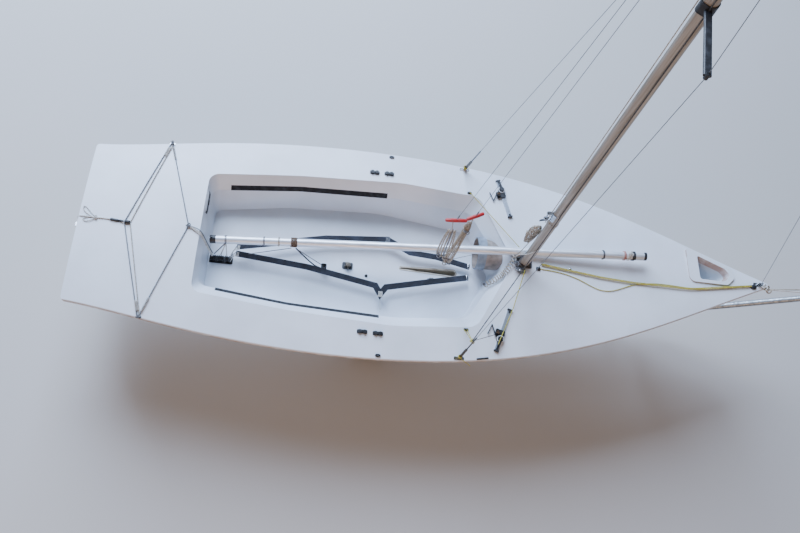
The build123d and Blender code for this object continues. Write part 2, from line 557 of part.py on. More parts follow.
cleats = []
for x, y in CLEAT_POSITIONS:
    cleats.extend(both_sides(on_deck(x, y, 0, cam_cleat())))
add("cam_cleats", Compound(children=cleats), 0x2B2D31)
lead = on_deck(*FAIRLEAD, 0, Pos(0, 0, -4) * (
    extrude(RectangleRounded(30, 16, 6), 8) + Pos(0, 0, 8) * Rot(90, 0, 0) * Cylinder(9, 8)))
bore = deck_frame(*FAIRLEAD) * Pos(0, 0, 7) * Rot(90, 0, 0) * Cylinder(3.5, 30)
bullseye = on_deck(*BULLSEYE, 0, Pos(0, 0, -4) * extrude(Ellipse(17, 9) - Ellipse(8, 4), 4 + 7))
add("side_fairleads", Compound(children=both_sides(lead - bore) + both_sides(bullseye)), 0x1B1C1F)
eye_ring = Rot(90, 0, 0) * extrude(Circle(10) - Circle(6), 2, both=True)
eye_base = on_deck(*BRIDLE_EYE, 0, Pos(0, 0, -4) * (
    extrude(RectangleRounded(34, 14, 5), 7) + Pos(0, 0, 9) * eye_ring))
add("bridle_eyes", Compound(children=both_sides(eye_base)), 0xAFB3B7)

# Sole and wall fittings
swivel = Pos(1657, -25, SOLE_Z) * (
    extrude(RectangleRounded(70, 46, 10), 6) + Pos(0, 0, 6) * extrude(Circle(20), 14)
    + Pos(0, 0, 20) * extrude(RectangleRounded(44, 20, 8), 10))
add("mainsheet_base", swivel, 0x1B1C1F)


def block(sheaves):
    """A pulley block: sheaves side by side on one pin between rounded cheeks, the pin along y."""
    pitch = SHEAVE_WIDTH + CHEEK_THICKNESS
    upright = Rot(90, 0, 0)
    body = upright * extrude(Circle(3.5), (sheaves * pitch + CHEEK_THICKNESS + 2) / 2, both=True)
    for place in range(sheaves + 1):
        cheek = extrude(RectangleRounded(36, 44, 14), CHEEK_THICKNESS / 2, both=True)
        body += Pos(0, (place - sheaves / 2) * pitch, 0) * upright * cheek
    wheel = extrude(Circle(SHEAVE_RADIUS), (SHEAVE_WIDTH - SHEAVE_PLAY) / 2, both=True)
    wheel -= Torus(SHEAVE_RADIUS + 1, SHEAVE_WIDTH * 0.38)
    for place in range(sheaves):
        body += Pos(0, (place - (sheaves - 1) / 2) * pitch, 0) * upright * wheel
    return body


# Pulley blocks: three on one plate behind the straps, and a double one on a swivel post on the sole
cluster = Pos(842, -76, SOLE_Z) * extrude(RectangleRounded(150, 50, 8), 4)
for x, sheaves in [(793, 3), (839, 3), (883, 2)]:
    cluster += Pos(x, -76, SOLE_Z + 25) * Rot(0, 0, 90) * block(sheaves)
post = Pos(*SOLE_BLOCK, SOLE_Z) * (extrude(Circle(15), 6) + extrude(Circle(8), 16))
double = Pos(*SOLE_BLOCK, SOLE_Z + 34) * block(2)
add("cockpit_blocks", Compound(children=[cluster, post + double]), 0x1F2023)

# Access hatch high on the cockpit's after wall, on the port side
rim_aft, crease_aft = RIM_OUTLINE[0][0], CREASE_OUTLINE[0][0]
wall_plane = Plane(origin=((rim_aft + crease_aft) / 2, HATCH_Y, (RIM_Z + CREASE_Z) / 2), x_dir=(0, 1, 0),
                   z_dir=(RIM_Z - CREASE_Z, 0, crease_aft - rim_aft))
hatch = extrude(RectangleRounded(*HATCH_SIZE, 18), 3)
hatch += Pos(0, 0, 3) * extrude(RectangleRounded(HATCH_SIZE[0] - 20, HATCH_SIZE[1] - 20, 10), 3)
hatch += Pos(0, 0, 6) * extrude(RectangleRounded(34, 10, 4), 5)
add("wall_hatch", wall_plane * hatch, 0x17181B)


def strap(points):
    """Flat webbing along a list of (x, y, z) points, level across."""
    side_line = Polyline(*[(x, z) for x, _, z in points])
    plan_line = Polyline(*[(x, y) for x, y, _ in points])
    plan = trace(plan_line, STRAP_WIDTH)
    profile = Plane.XZ * trace(side_line, STRAP_THICKNESS)
    return extrude(plan, 900) & extrude(profile, 500, both=True)


STRAPS = {
    "starboard": [(938, -54, 233), (1400, -92, 224), (1845, -168, 218), (1880, -226, 222),
                  (1915, -172, 218), (2200, -100, 208), (2462, -36, 196)],
    "port": [(938, -8, 233), (1500, 124, 224), (1905, 166, 218), (2060, 92, 212), (2240, 84, 204),
             (2470, 40, 196)],
}
for side, points in STRAPS.items():
    add(f"{side}_toe_strap", strap(points), 0x1D1F26)

# Ropes that lie or hang free
FOREDECK_CORD_RADIUS = 2.5
FOREDECK_CORD_LIFT = 4.0
# x, y on the foredeck, from the lead beside the mast round its slack bight to the bow
FOREDECK_CORD = [(2866, -28), (2934, -32), (3003, -41), (3070, -56), (3134, -79), (3196, -110), (3259, -136),
                 (3325, -139), (3388, -119), (3448, -92), (3513, -72), (3582, -60), (3654, -56), (3726, -58),
                 (3797, -63), (3869, -66), (3941, -63), (4012, -55), (4082, -44), (4150, -31), (4216, -20),
                 (4278, -13)]
MAINSHEET_CORD_RADIUS = 4.5
# x, y, z from the tie round the boom down to the block on the sole
MAINSHEET_CORD = [(1318, -14, 322), (1340, -17, 276), (1372, -24, 230), (1412, -42, 192), (1454, -62, 172),
                  (1482, -67, 171)]
CHAIN_RADIUS = 14.0
# x, y, z from the mast's foot over the cockpit's front rim
CHAINED_ROPE = [(2697, 12, 464), (2655, -66, 455), (2600, -112, 404), (2535, -136, 335)]
# Middle x, y, z and half sizes along x and y of each level of the two hanging hanks
TRAPEZE_HANK = [(2340, 80, 872, 9, 8), (2322, 50, 740, 17, 14), (2300, 14, 540, 28, 18), (2288, 0, 434, 34, 19),
                (2280, -6, 345, 28, 18)]
HALYARD_COIL = [(2736, 62, 884, 13, 11), (2734, 70, 810, 42, 27), (2732, 72, 710, 38, 26), (2730, 72, 628, 22, 16)]


def cord_tube(name, points, radius):
    """A round tube along straight runs joined by tangent arcs as large as the runs allow."""
    points = [Vector(*point) for point in points]
    arcs = []
    for before, corner, after in zip(points, points[1:], points[2:]):
        run_in, run_out = corner - before, after - corner
        half_turn = radians(run_in.get_angle(run_out) / 2)
        arcs.append(0.45 * min(run_in.length, run_out.length) / tan(half_turn))
    route = FilletPolyline(*points, radius=arcs)
    print(name, "length", round(route.length), "arc radii", [round(arc) for arc in arcs])
    return sweep(Plane(origin=route @ 0, z_dir=route % 0) * Circle(radius), route)


def hanging_hank(levels):
    """The closed outer shape of a hanging bundle of rope."""
    return loft([Pos(x, y, z) * make_face(Ellipse(along, across).edge()) for x, y, z, along, across in levels])


foredeck_route = [(x, y, deck_frame(x, y).origin.Z + FOREDECK_CORD_LIFT) for x, y in FOREDECK_CORD]
add("foredeck_cord", cord_tube("foredeck_cord", foredeck_route, FOREDECK_CORD_RADIUS), 0xC9C77A)
add("mainsheet_cord", cord_tube("mainsheet_cord", MAINSHEET_CORD, MAINSHEET_CORD_RADIUS), 0x2B2C30)
add("chained_hank", cord_tube("chained_hank", CHAINED_ROPE, CHAIN_RADIUS), 0x8F8573)
add("trapeze_hank", hanging_hank(TRAPEZE_HANK), 0xA89B84)
add("halyard_coil", hanging_hank(HALYARD_COIL), 0x9C917C)

# Transom: rudder gudgeons with their pin holes, and two drain bungs
gudgeons = []
for z in GUDGEON_HEIGHTS:
    pad = Pos(-1.5, 0, z) * Box(3, 90, 34)
    lug = Pos(-GUDGEON_PROJECTION / 2, 0, z) * Box(GUDGEON_PROJECTION, 26, GUDGEON_LUG)
    gudgeon = pad + lug
    gudgeon -= Pos(-GUDGEON_PROJECTION + 14, 0, z) * Cylinder(GUDGEON_BORE, 60)
    gudgeons.append(gudgeon)
add("rudder_gudgeons", Compound(children=gudgeons), 0xB9BCC0)
bung = Pos(0, 215, 150) * Rot(0, -90, 0) * (extrude(Circle(21), 5) + Pos(0, 0, 5) * extrude(Circle(13), 9))
add("drain_bungs", Compound(children=both_sides(bung)), 0x1B1C1F)

# Launching trolley
AXLE_Z = WHEEL_RADIUS - GROUND_CLEARANCE
half_axle = (TRACK - TYRE_WIDTH) / 2 - 14
axle = rod((AXLE_X, -half_axle, AXLE_Z), (AXLE_X, half_axle, AXLE_Z), AXLE_RADIUS)
stub_end = TRACK / 2 + HUB_WIDTH / 2 + 6
axle += rod((AXLE_X, -stub_end, AXLE_Z), (AXLE_X, stub_end, AXLE_Z), STUB_RADIUS)
BAR_Z = AXLE_Z + AXLE_RADIUS + DRAWBAR_RADIUS
bend_x = HANDLE_X - (HANDLE_Z - BAR_Z) / NECK_SLOPE
path = FilletPolyline((AXLE_X - 60, 0, BAR_Z), (bend_x, 0, BAR_Z), (HANDLE_X, 0, HANDLE_Z),
                      radius=NECK_RADIUS)
drawbar = sweep(Plane(origin=path @ 0, z_dir=path % 0) * Circle(DRAWBAR_RADIUS), path)
handle = rod((HANDLE_X, -HANDLE_WIDTH / 2, HANDLE_Z), (HANDLE_X, HANDLE_WIDTH / 2, HANDLE_Z), HANDLE_RADIUS)
drawbar -= handle
add("trolley_axle", axle, 0xAEB2B5)
add("trolley_drawbar", drawbar, 0xAEB2B5)
add("trolley_handle", handle, 0xAEB2B5)
grips = []
for side in (1, -1):
    a, b = side * (HANDLE_WIDTH / 2 - GRIP_LENGTH), side * (HANDLE_WIDTH / 2)
    grips.append(rod((HANDLE_X, a, HANDLE_Z), (HANDLE_X, b, HANDLE_Z), HANDLE_RADIUS + GRIP_WALL) - handle)
add("handle_grips", Compound(children=grips), 0x1B1C1F)

cross = Pos(AXLE_X, 0, AXLE_Z) * Box(60, 2 * BUNK_Y + 60, 2 * AXLE_RADIUS + 12)
cross -= rod((AXLE_X, -half_axle, AXLE_Z), (AXLE_X, half_axle, AXLE_Z), AXLE_RADIUS + SADDLE_PLAY)
cross -= Pos(AXLE_X, 0, BAR_Z) * Box(90, 2 * (DRAWBAR_RADIUS + SADDLE_PLAY), 2 * (DRAWBAR_RADIUS + SADDLE_PLAY))
post_foot = AXLE_Z + AXLE_RADIUS + 6
post_height = BUNK_TOP - PAD_THICKNESS - post_foot
for side in (1, -1):
    cross += Pos(AXLE_X, side * BUNK_Y, post_foot + post_height / 2) * Box(40, 40, post_height)
add("cradle_frame", cross, 0xAEB2B5)
pads = []
for side in (1, -1):
    pad = Pos(AXLE_X, side * BUNK_Y, BUNK_TOP - PAD_THICKNESS) * Box(
        BUNK_LENGTH, 90, PAD_THICKNESS + 60, align=(Align.CENTER, Align.CENTER, Align.MIN))
    pads.append(pad - boat)
add("cradle_pads", Compound(children=pads), 0x232427)

chock_post = Pos(CHOCK_X, 0, BAR_Z) * extrude(Rectangle(44, 44), CHOCK_TOP - BAR_Z)
bar_there = rod((CHOCK_X - 90, 0, BAR_Z), (CHOCK_X + 90, 0, BAR_Z), DRAWBAR_RADIUS)
add("keel_chock_post", chock_post - bar_there, 0xAEB2B5)
chock = Pos(CHOCK_X, 0, CHOCK_TOP) * Box(120, 130, 90, align=(Align.CENTER, Align.CENTER, Align.MIN)) - boat
add("keel_chock", chock, 0x232427)
leg = rod((LEG_X, 0, -GROUND_CLEARANCE + 8), (LEG_X, 0, BAR_Z), 14) - rod(
    (LEG_X - 90, 0, BAR_Z), (LEG_X + 90, 0, BAR_Z), DRAWBAR_RADIUS)
foot = Pos(LEG_X, 0, -GROUND_CLEARANCE) * extrude(RectangleRounded(140, 110, 16), 8)
add("prop_leg", leg + foot, 0xAEB2B5)

wheel_plane = Plane(origin=(AXLE_X, 0, AXLE_Z), x_dir=(1, 0, 0), z_dir=(0, 1, 0))
rim = extrude(Circle(RIM_RADIUS), RIM_WIDTH / 2, both=True)
for face in (1, -1):
    dish = Pos(0, 0, face * (RIM_WIDTH / 2 - 14)) * extrude(
        Circle(RIM_RADIUS - 14) - Circle(34), face * 40)
    rim -= dish
rim += extrude(Circle(30), HUB_WIDTH / 2, both=True)
rim -= extrude(Circle(STUB_RADIUS + BEARING_PLAY), 100, both=True)
tyre_half = TYRE_WIDTH / 2
# Half of the tyre's section: radius, distance from its middle
TYRE_SECTION = [(RIM_RADIUS, RIM_WIDTH / 2), (RIM_RADIUS + 28, tyre_half), (WHEEL_RADIUS - 44, tyre_half),
                (WHEEL_RADIUS - 14, tyre_half * 0.78), (WHEEL_RADIUS, tyre_half * 0.42)]
section = TYRE_SECTION + [(r, -w) for r, w in TYRE_SECTION[::-1]]
tyre = revolve(Plane.XZ * make_face(Polyline(*section, close=True)), Axis.Z)
for side, sign in (("port", 1), ("starboard", -1)):
    place = Pos(AXLE_X, sign * TRACK / 2, AXLE_Z) * Rot(90, 0, 0)
    add(f"{side}_rim", place * rim, 0xD9DADA)
    add(f"{side}_tyre", place * tyre, 0x1B1B1C)

os.makedirs("parts", exist_ok=True)
for name, shape in NODES.items():
    export_step(shape, f"parts/{name}.step")
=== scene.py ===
import bpy
import bmesh
from math import cos, pi, radians, sin
from mathutils import Matrix, Vector


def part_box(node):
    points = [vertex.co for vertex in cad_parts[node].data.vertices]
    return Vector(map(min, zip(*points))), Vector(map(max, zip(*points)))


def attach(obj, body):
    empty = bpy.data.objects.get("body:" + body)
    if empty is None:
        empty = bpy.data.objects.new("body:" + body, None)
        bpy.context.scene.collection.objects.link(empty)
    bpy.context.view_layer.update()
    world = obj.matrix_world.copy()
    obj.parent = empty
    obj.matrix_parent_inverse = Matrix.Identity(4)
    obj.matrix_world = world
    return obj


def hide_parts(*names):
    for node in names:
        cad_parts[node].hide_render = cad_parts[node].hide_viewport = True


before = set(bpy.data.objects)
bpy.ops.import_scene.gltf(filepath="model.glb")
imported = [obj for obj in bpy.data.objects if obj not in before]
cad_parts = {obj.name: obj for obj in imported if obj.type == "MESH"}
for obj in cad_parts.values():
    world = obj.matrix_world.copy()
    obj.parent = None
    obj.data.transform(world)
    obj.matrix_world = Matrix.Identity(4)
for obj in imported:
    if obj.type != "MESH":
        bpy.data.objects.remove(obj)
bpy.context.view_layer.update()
bpy.ops.object.select_all(action="DESELECT")

# Camera at the photograph's place: high above the boat's starboard side, looking down on it. Places on the
# boat are given from the transom, the centreline and the keel line, in metres.
CAMERA_PLACE = (-1.00555, -1.93178, 5.18028)
CAMERA_TURN = (22.031, -8.045, 3.329)
CAMERA_LENS = 34.33
KEEL_LINE = 0.362            # its height above the ground
ABOVE_DECK = 1.2             # clear of all that stands on the deck moulding
bpy.ops.object.camera_add(location=CAMERA_PLACE, rotation=[radians(a) for a in CAMERA_TURN])
camera = bpy.context.object
camera.data.lens = CAMERA_LENS
bpy.context.scene.camera = camera

transom_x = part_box("deck_moulding")[0].x
keel_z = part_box("port_tyre")[0].z + KEEL_LINE
deck_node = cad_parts["deck_moulding"]


def boat(x, y, z):
    """A point measured from the transom, the centreline and the keel line."""
    return Vector((transom_x + x, y, keel_z + z))


def on_deck(x, y, lift=0.0):
    """A point that stands lift above the deck moulding, or above its cockpit sole."""
    _, point, normal, _ = deck_node.ray_cast(boat(x, y, ABOVE_DECK), (0, 0, -1))
    return point + normal * lift


# Ropes and lines: braided polyester, matt and slightly fuzzy, each with a fleck of a second colour. The taut
# ones are tied off at both ends and lie dead straight between their turns.
ROPE_STRAND_MM = 2.2         # width of one bundle of yarns in the braid
ROPE_DUST = "#77705F"
ROPES = {                    # main colour, fleck colour
    "beige": ("#BDB4A2", "#7C7264"),
    "pale": ("#CFC9BD", "#5A544B"),
    "grey": ("#868B92", "#4A4E55"),
    "white": ("#E6E6E2", "#A9A79F"),
    "yellow": ("#CFC352", "#8C873C"),
    "brown": ("#70563F", "#3E3024"),
    "black": ("#26282C", "#55585E"),
    "red": ("#A33A34", "#D8D2C8"),
}


def linear(hex_colour):
    """An sRGB hex value as the linear colour that the nodes take."""
    shares = [int(hex_colour[i:i + 2], 16) / 255 for i in (1, 3, 5)]
    return [s / 12.92 if s <= 0.04045 else ((s + 0.055) / 1.055) ** 2.4 for s in shares] + [1.0]


def node(tree, kind, inputs=None, **settings):
    """Adds one node. Each input is a value, another node's output, or another node for its first output."""
    new = tree.nodes.new("ShaderNode" + kind)
    for key, value in settings.items():
        setattr(new, key, value)
    for key, value in (inputs or {}).items():
        source = value.outputs[0] if isinstance(value, bpy.types.Node) else value
        if isinstance(source, bpy.types.NodeSocket):
            tree.links.new(source, new.inputs[key])
        else:
            new.inputs[key].default_value = source
    return new


def new_look(name, **sockets):
    """A material with one shader, and the place on the piece that its patterns read."""
    look = bpy.data.materials.new(name)
    look.use_nodes = True
    tree = look.node_tree
    tree.nodes.clear()
    shader = node(tree, "BsdfPrincipled", {key.replace("_", " "): value for key, value in sockets.items()})
    node(tree, "OutputMaterial", {"Surface": shader})
    return look, tree, shader, node(tree, "TexCoord").outputs["Object"]


def colour_between(tree, shader, share, low, high):
    """The shader's colour runs from low to high with share; either end is a hex value or an output."""
    ends = [linear(c) if isinstance(c, str) else c for c in (low, high)]
    mixed = node(tree, "Mix", {0: share, 6: ends[0], 7: ends[1]}, data_type="RGBA").outputs[2]
    tree.links.new(mixed, shader.inputs["Base Color"])
    return mixed


def relief(tree, shader, height, depth_mm):
    """A fine surface relief of a real depth."""
    bump = node(tree, "Bump", {"Height": height, "Distance": depth_mm / 1000, "Strength": 1.0})
    tree.links.new(bump.outputs[0], shader.inputs["Normal"])


def rope_look(name, main, fleck):
    """Braided polyester: yarn bundles as small cells, some of them in the fleck colour, under dust."""
    look, tree, shader, place = new_look(name, Roughness=0.86)
    yarns = node(tree, "TexVoronoi", {"Vector": place, "Scale": 1000 / ROPE_STRAND_MM})
    marked = node(tree, "MapRange", {"Value": yarns.outputs["Color"], "From Min": 0.56, "From Max": 0.64})
    dust = node(tree, "TexNoise", {"Vector": place, "Scale": 1000 / 40, "Detail": 3.0})
    worn = node(tree, "MapRange", {"Value": dust, "From Min": 0.45, "From Max": 0.75, "To Max": 0.35})
    braid = colour_between(tree, shader, marked, main, fleck)
    colour_between(tree, shader, worn, braid, ROPE_DUST)
    relief(tree, shader, yarns.outputs["Distance"], -0.7)
    return look


rope = {colour: rope_look(f"{colour}_rope", *pair) for colour, pair in ROPES.items()}


def smooth_curve(name, points, closed=False):
    """A curve that has the points as its control points, two of them for a straight one."""
    if len(points) == 2:
        points = [points[0], (points[0] + points[1]) / 2, points[1]]
    data = bpy.data.curves.new(name, "CURVE")
    data.dimensions = "3D"
    data.resolution_u = 8
    spline = data.splines.new("NURBS")
    spline.points.add(len(points) - 1)
    for control, point in zip(spline.points, points):
        control.co = (*point, 1)
    spline.order_u = 3
    spline.use_endpoint_u = not closed
    spline.use_cyclic_u = closed
    piece = bpy.data.objects.new(name, data)
    bpy.context.collection.objects.link(piece)
    return piece


def line(name, points, diameter, look, slot="wire", closed=False, body="boat"):
    """A rope or wire that follows one smooth curve; look is a material or a rope's colour."""
    piece = smooth_curve(name, points, closed)
    piece.data.bevel_depth = diameter / 2
    piece.data.bevel_resolution = 3
    piece.data.use_fill_caps = True
    piece.data.materials.append(rope[look] if isinstance(look, str) else look)
    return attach(piece, body)


def across_to(direction):
    """Two directions square to a given one and to each other."""
    direction = direction.normalized()
    first = direction.cross(Vector((0.13, 0.27, 0.95))).normalized()
    return first, direction.cross(first)


# Free ropes: a yellow line in a slack bight on the foredeck, the mainsheet's black tail from the boom to its
# block, a tail coiled up short over the cockpit's front rim, and two lines that hang in hanks, one from the
# trapeze handle and one from the mast's lever. All are braided polyester and end in a fitting or a knot.
FOREDECK_CORD = [(2.866, -0.028), (2.934, -0.032), (3.003, -0.041), (3.070, -0.056), (3.134, -0.079),
                 (3.196, -0.110), (3.259, -0.136), (3.325, -0.139), (3.388, -0.119), (3.448, -0.092),
                 (3.513, -0.072), (3.582, -0.060), (3.654, -0.056), (3.726, -0.058), (3.797, -0.063),
                 (3.869, -0.066), (3.941, -0.063), (4.012, -0.055), (4.082, -0.044), (4.150, -0.031),
                 (4.216, -0.020), (4.278, -0.013)]
MAINSHEET_CORD = [(1.318, -0.014, 0.322), (1.340, -0.017, 0.276), (1.372, -0.024, 0.230),
                  (1.412, -0.042, 0.192), (1.454, -0.062, 0.172), (1.482, -0.067, 0.171)]
CHAINED_ROPE = [(2.697, 0.012, 0.464), (2.655, -0.066, 0.455), (2.600, -0.112, 0.404), (2.535, -0.136, 0.335)]
# Middle and half sizes, along and across, of each level of the two hanging hanks
TRAPEZE_HANK = [(2.340, 0.080, 0.872, 0.009, 0.008), (2.322, 0.050, 0.740, 0.017, 0.014),
                (2.300, 0.014, 0.540, 0.028, 0.018), (2.288, 0.000, 0.434, 0.034, 0.019),
                (2.280, -0.006, 0.345, 0.028, 0.018)]
HALYARD_COIL = [(2.736, 0.062, 0.884, 0.013, 0.011), (2.734, 0.070, 0.810, 0.042, 0.027),
                (2.732, 0.072, 0.710, 0.038, 0.026), (2.730, 0.072, 0.628, 0.022, 0.016)]
RUN_SHARES = (0.08, 0.3, 0.52, 0.74, 0.92)   # where each upright run of a hank's turn has its points
FOLD_ANGLES = (22.5, 67.5, 112.5, 157.5)     # and where each fold has them
FOLD_OUT = 1.08              # a fold's curve lies this much inside its points
HANK_FILL = 0.8              # share of the half sizes at which the turns run
HANK_CORD = 0.0055
FOREDECK_LIFT = 0.004


def knot(name, centre, size, diameter, look, lean=Vector((0, 0, 1))):
    """A small overhand knot, a trefoil pressed together."""
    first, second = across_to(lean)
    points = []
    for i in range(18):
        t = i * pi / 9
        flat = first * (sin(t) + 2 * sin(2 * t)) + second * (cos(t) - 2 * cos(2 * t))
        points.append(centre + (flat - lean.normalized() * sin(3 * t) * 1.1) * size / 6)
    return line(name, points, diameter, look, closed=True)


def route(*places):
    """The points of a line that runs through places on the boat."""
    return [boat(*place) for place in places]


def free_rope(name, points, diameter, look, node_name):
    """A limp rope that hangs or lies free, in place of its plain tube or bundle."""
    piece = line(name, points, diameter, look, "rope")
    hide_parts(node_name)
    return piece


def wound_round(points, turns, radius):
    """Control points of a rope wound round a smooth route, twelve to each turn."""
    guide = smooth_curve("guide", points)
    mesh = bpy.data.meshes.new_from_object(guide)
    centres = [v.co.copy() for v in mesh.vertices]
    bpy.data.objects.remove(guide)
    bpy.data.meshes.remove(mesh)
    wound = []
    for i in range(turns * 12 + 1):
        place = i / (turns * 12) * (len(centres) - 1)
        low = min(int(place), len(centres) - 2)
        ahead = centres[low + 1] - centres[low]
        first, second = across_to(ahead)
        angle = i * pi / 6
        out = (first * cos(angle) + second * sin(angle)) * (radius * (1 + 0.12 * sin(i * 0.37)))
        wound.append(centres[low] + ahead * (place - low) + out)
    return wound


def hank_side(levels, height, angle, bend):
    """Middle of a hank at a height, and the way out to a turn, no shorter than its fold's radius."""
    for upper, lower in zip(levels, levels[1:]):
        if height >= lower[2]:
            break
    share = (upper[2] - height) / (upper[2] - lower[2])
    x, y, _, along, across = [a + (b - a) * share for a, b in zip(upper, lower)]
    out = Vector((cos(angle) * along, sin(angle) * across, 0)) * HANK_FILL
    return boat(x, y, height), out.normalized() * max(out.length, bend)


def hank_points(levels, turns, bend, first_top, spread):
    """Long upright turns that fan out round the hank's middle line; bend is the radius of their folds."""
    up = Vector((0, 0, 1))
    fold = [radians(a) for a in FOLD_ANGLES]
    points = [boat(*levels[0][:3])]
    for turn in range(turns):
        angle = pi * turn / turns + 0.3
        top = first_top - spread * ((turn * 0.382) % 1) * 1.6
        bottom = levels[-1][2] + bend + spread * ((turn * 0.618) % 1)
        runs = [hank_side(levels, top + (bottom - top) * share, angle, bend) for share in RUN_SHARES]
        points += [middle + out for middle, out in runs]
        middle, out = hank_side(levels, bottom, angle, bend)
        points += [middle + (out * cos(a) - up * out.length * sin(a)) * FOLD_OUT for a in fold]
        points += [middle - out for middle, out in reversed(runs)]
        middle, out = hank_side(levels, top, angle, bend)
        points += [middle + (up * out.length * sin(a) - out * cos(a)) * FOLD_OUT for a in fold]
    return points


free_rope("foredeck_line", [on_deck(x, y, FOREDECK_LIFT) for x, y in FOREDECK_CORD], 0.005,
          "yellow", "foredeck_cord")
free_rope("mainsheet_tail", route(*MAINSHEET_CORD), 0.009, "black", "mainsheet_cord")
free_rope("coiled_tail", wound_round(route(*CHAINED_ROPE), 14, 0.0155), 0.006, "beige",
          "chained_hank")
trapeze_points = hank_points(TRAPEZE_HANK, 8, 0.0160, 0.800, 0.030)
trapeze_end = knot("trapeze_end_knot", trapeze_points[-1], 0.024, HANK_CORD, "beige")
free_rope("trapeze_line", trapeze_points, HANK_CORD, "beige", "trapeze_hank")
free_rope("halyard_tail", hank_points(HALYARD_COIL, 9, 0.0150, 0.850, 0.030), 0.006, "pale",
          "halyard_coil")

# Hull and deck: two glass-fibre mouldings in white gelcoat, glued round the gunwale. The gloss has gone
# chalky, with a bluish cast, faint clouds of dirt, dark specks and a grubby rubbing edge round the flange.
SPECK_MM = 22                # from one dark speck to the next
GRAIN_MM = 9
NON_SLIP_DOT_MM = 14         # pitch of the dots beside the slot, whose shade is painted on
BAND_OUT = 0.52              # the grubby band lies further out than this, or beyond these two ends
BAND_FORWARD = 2.78
BAND_AFT = 0.02
STRIP_MIDDLE = 1.70          # the non-slip strip on the sole
STRIP_LENGTH = 0.60
STRIP_WIDTH = 0.15
STRIP_TOP = 0.17


def dress(look, *nodes):
    """Puts a finish on pieces that the frame already has."""
    for name in nodes:
        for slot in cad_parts[name].material_slots:
            slot.material = look


def gelcoat(name, fresh, aged, cloud_mm):
    """Sprayed gelcoat: nearly smooth, low gloss, with clouds and specks."""
    look, tree, shader, place = new_look(name, Roughness=0.38, Coat_Weight=0.25, Coat_Roughness=0.22)
    clouds = node(tree, "TexNoise", {"Vector": place, "Scale": 1000 / cloud_mm, "Detail": 4.0})
    cloudy = node(tree, "MapRange", {"Value": clouds, "From Min": 0.35, "From Max": 0.68})
    body = colour_between(tree, shader, cloudy, fresh, aged)
    specks = node(tree, "TexVoronoi", {"Vector": place, "Scale": 1000 / SPECK_MM})
    near = node(tree, "MapRange", {"Value": specks.outputs["Distance"], "From Min": 0.07, "From Max": 0.04})
    few = node(tree, "MapRange", {"Value": specks.outputs["Color"], "From Min": 0.70, "From Max": 0.74})
    speck = node(tree, "Math", {0: near, 1: few}, operation="MULTIPLY")
    soft = node(tree, "Math", {0: speck, 1: 0.55}, operation="MULTIPLY")
    spotted = colour_between(tree, shader, soft, body, "#6F6A5E")
    grain = node(tree, "TexNoise", {"Vector": place, "Scale": 1000 / GRAIN_MM, "Detail": 2.0})
    relief(tree, shader, grain, 0.05)
    return look, tree, shader, place, spotted


hull_look = gelcoat("white_gelcoat_topsides", "#DCE4EC", "#CFD7DE", 260)[0]
deck_look, tree, shader, place, spotted = gelcoat("white_gelcoat_deck", "#E3EBF4", "#D8DFE7", 340)

# The grubby band follows the gunwale: on the upright faces outside the cockpit
facing = node(tree, "SeparateXYZ", {"Vector": node(tree, "NewGeometry").outputs["Normal"]})
tilt = node(tree, "Math", {0: facing.outputs[2], 1: 0.0}, operation="ABSOLUTE")
upright = node(tree, "MapRange", {"Value": tilt, "From Min": 0.75, "From Max": 0.35})
parts = node(tree, "SeparateXYZ", {"Vector": place})
out = node(tree, "Math", {0: parts.outputs[1], 1: 0.0}, operation="ABSOLUTE")
outside = node(tree, "Math", {0: out, 1: BAND_OUT}, operation="GREATER_THAN")
forward = node(tree, "Math", {0: parts.outputs[0], 1: transom_x + BAND_FORWARD}, operation="GREATER_THAN")
aft = node(tree, "Math", {0: parts.outputs[0], 1: transom_x + BAND_AFT}, operation="LESS_THAN")
ends = node(tree, "Math", {0: forward, 1: aft}, operation="MAXIMUM")
edge = node(tree, "Math", {0: outside, 1: ends}, operation="MAXIMUM")
patches = node(tree, "TexNoise", {"Vector": place, "Scale": 1000 / 70, "Detail": 5.0})
patchy = node(tree, "MapRange", {"Value": patches, "From Min": 0.28, "From Max": 0.58})
band = node(tree, "Math", {0: upright, 1: edge}, operation="MULTIPLY")
dirty = node(tree, "Math", {0: band, 1: patchy}, operation="MULTIPLY")
grubby = colour_between(tree, shader, dirty, spotted, "#B09A90")

# Non-slip dots in a strip on the sole, aft of the slot, drawn only as painted shade: faint darker grey dots
dots = node(tree, "TexVoronoi", {"Vector": place, "Scale": 1000 / NON_SLIP_DOT_MM, "Randomness": 0.0})
dot = node(tree, "MapRange", {"Value": dots.outputs["Distance"], "From Min": 0.30, "From Max": 0.16})
along = node(tree, "Math", {0: parts.outputs[0], 1: transom_x + STRIP_MIDDLE}, operation="SUBTRACT")
beyond = node(tree, "Math", {0: along}, operation="ABSOLUTE")
within = node(tree, "Math", {0: beyond, 1: STRIP_LENGTH / 2}, operation="LESS_THAN")
near_middle = node(tree, "Math", {0: out, 1: STRIP_WIDTH / 2}, operation="LESS_THAN")
low = node(tree, "Math", {0: parts.outputs[2], 1: keel_z + STRIP_TOP}, operation="LESS_THAN")
strip = node(tree, "Math", {0: within, 1: near_middle}, operation="MULTIPLY")
sole_strip = node(tree, "Math", {0: strip, 1: low}, operation="MULTIPLY")
dot_shade_mask = node(tree, "Math", {0: sole_strip, 1: dot}, operation="MULTIPLY")
painted_dot_shade = node(tree, "Math", {0: dot_shade_mask, 1: 0.30}, operation="MULTIPLY")
# painted shade of the dots: 30 % of the way to a darker grey, with no relief under it
colour_between(tree, shader, painted_dot_shade, grubby, "#8E9299")
dress(hull_look, "hull_moulding")
dress(deck_look, "deck_moulding", "chute_mouth")

# Daggerboard case: a satin laminate box glued into the slot between deck and hull. The board has yellowed and
# scuffed it, in thin marks that run fore and aft.


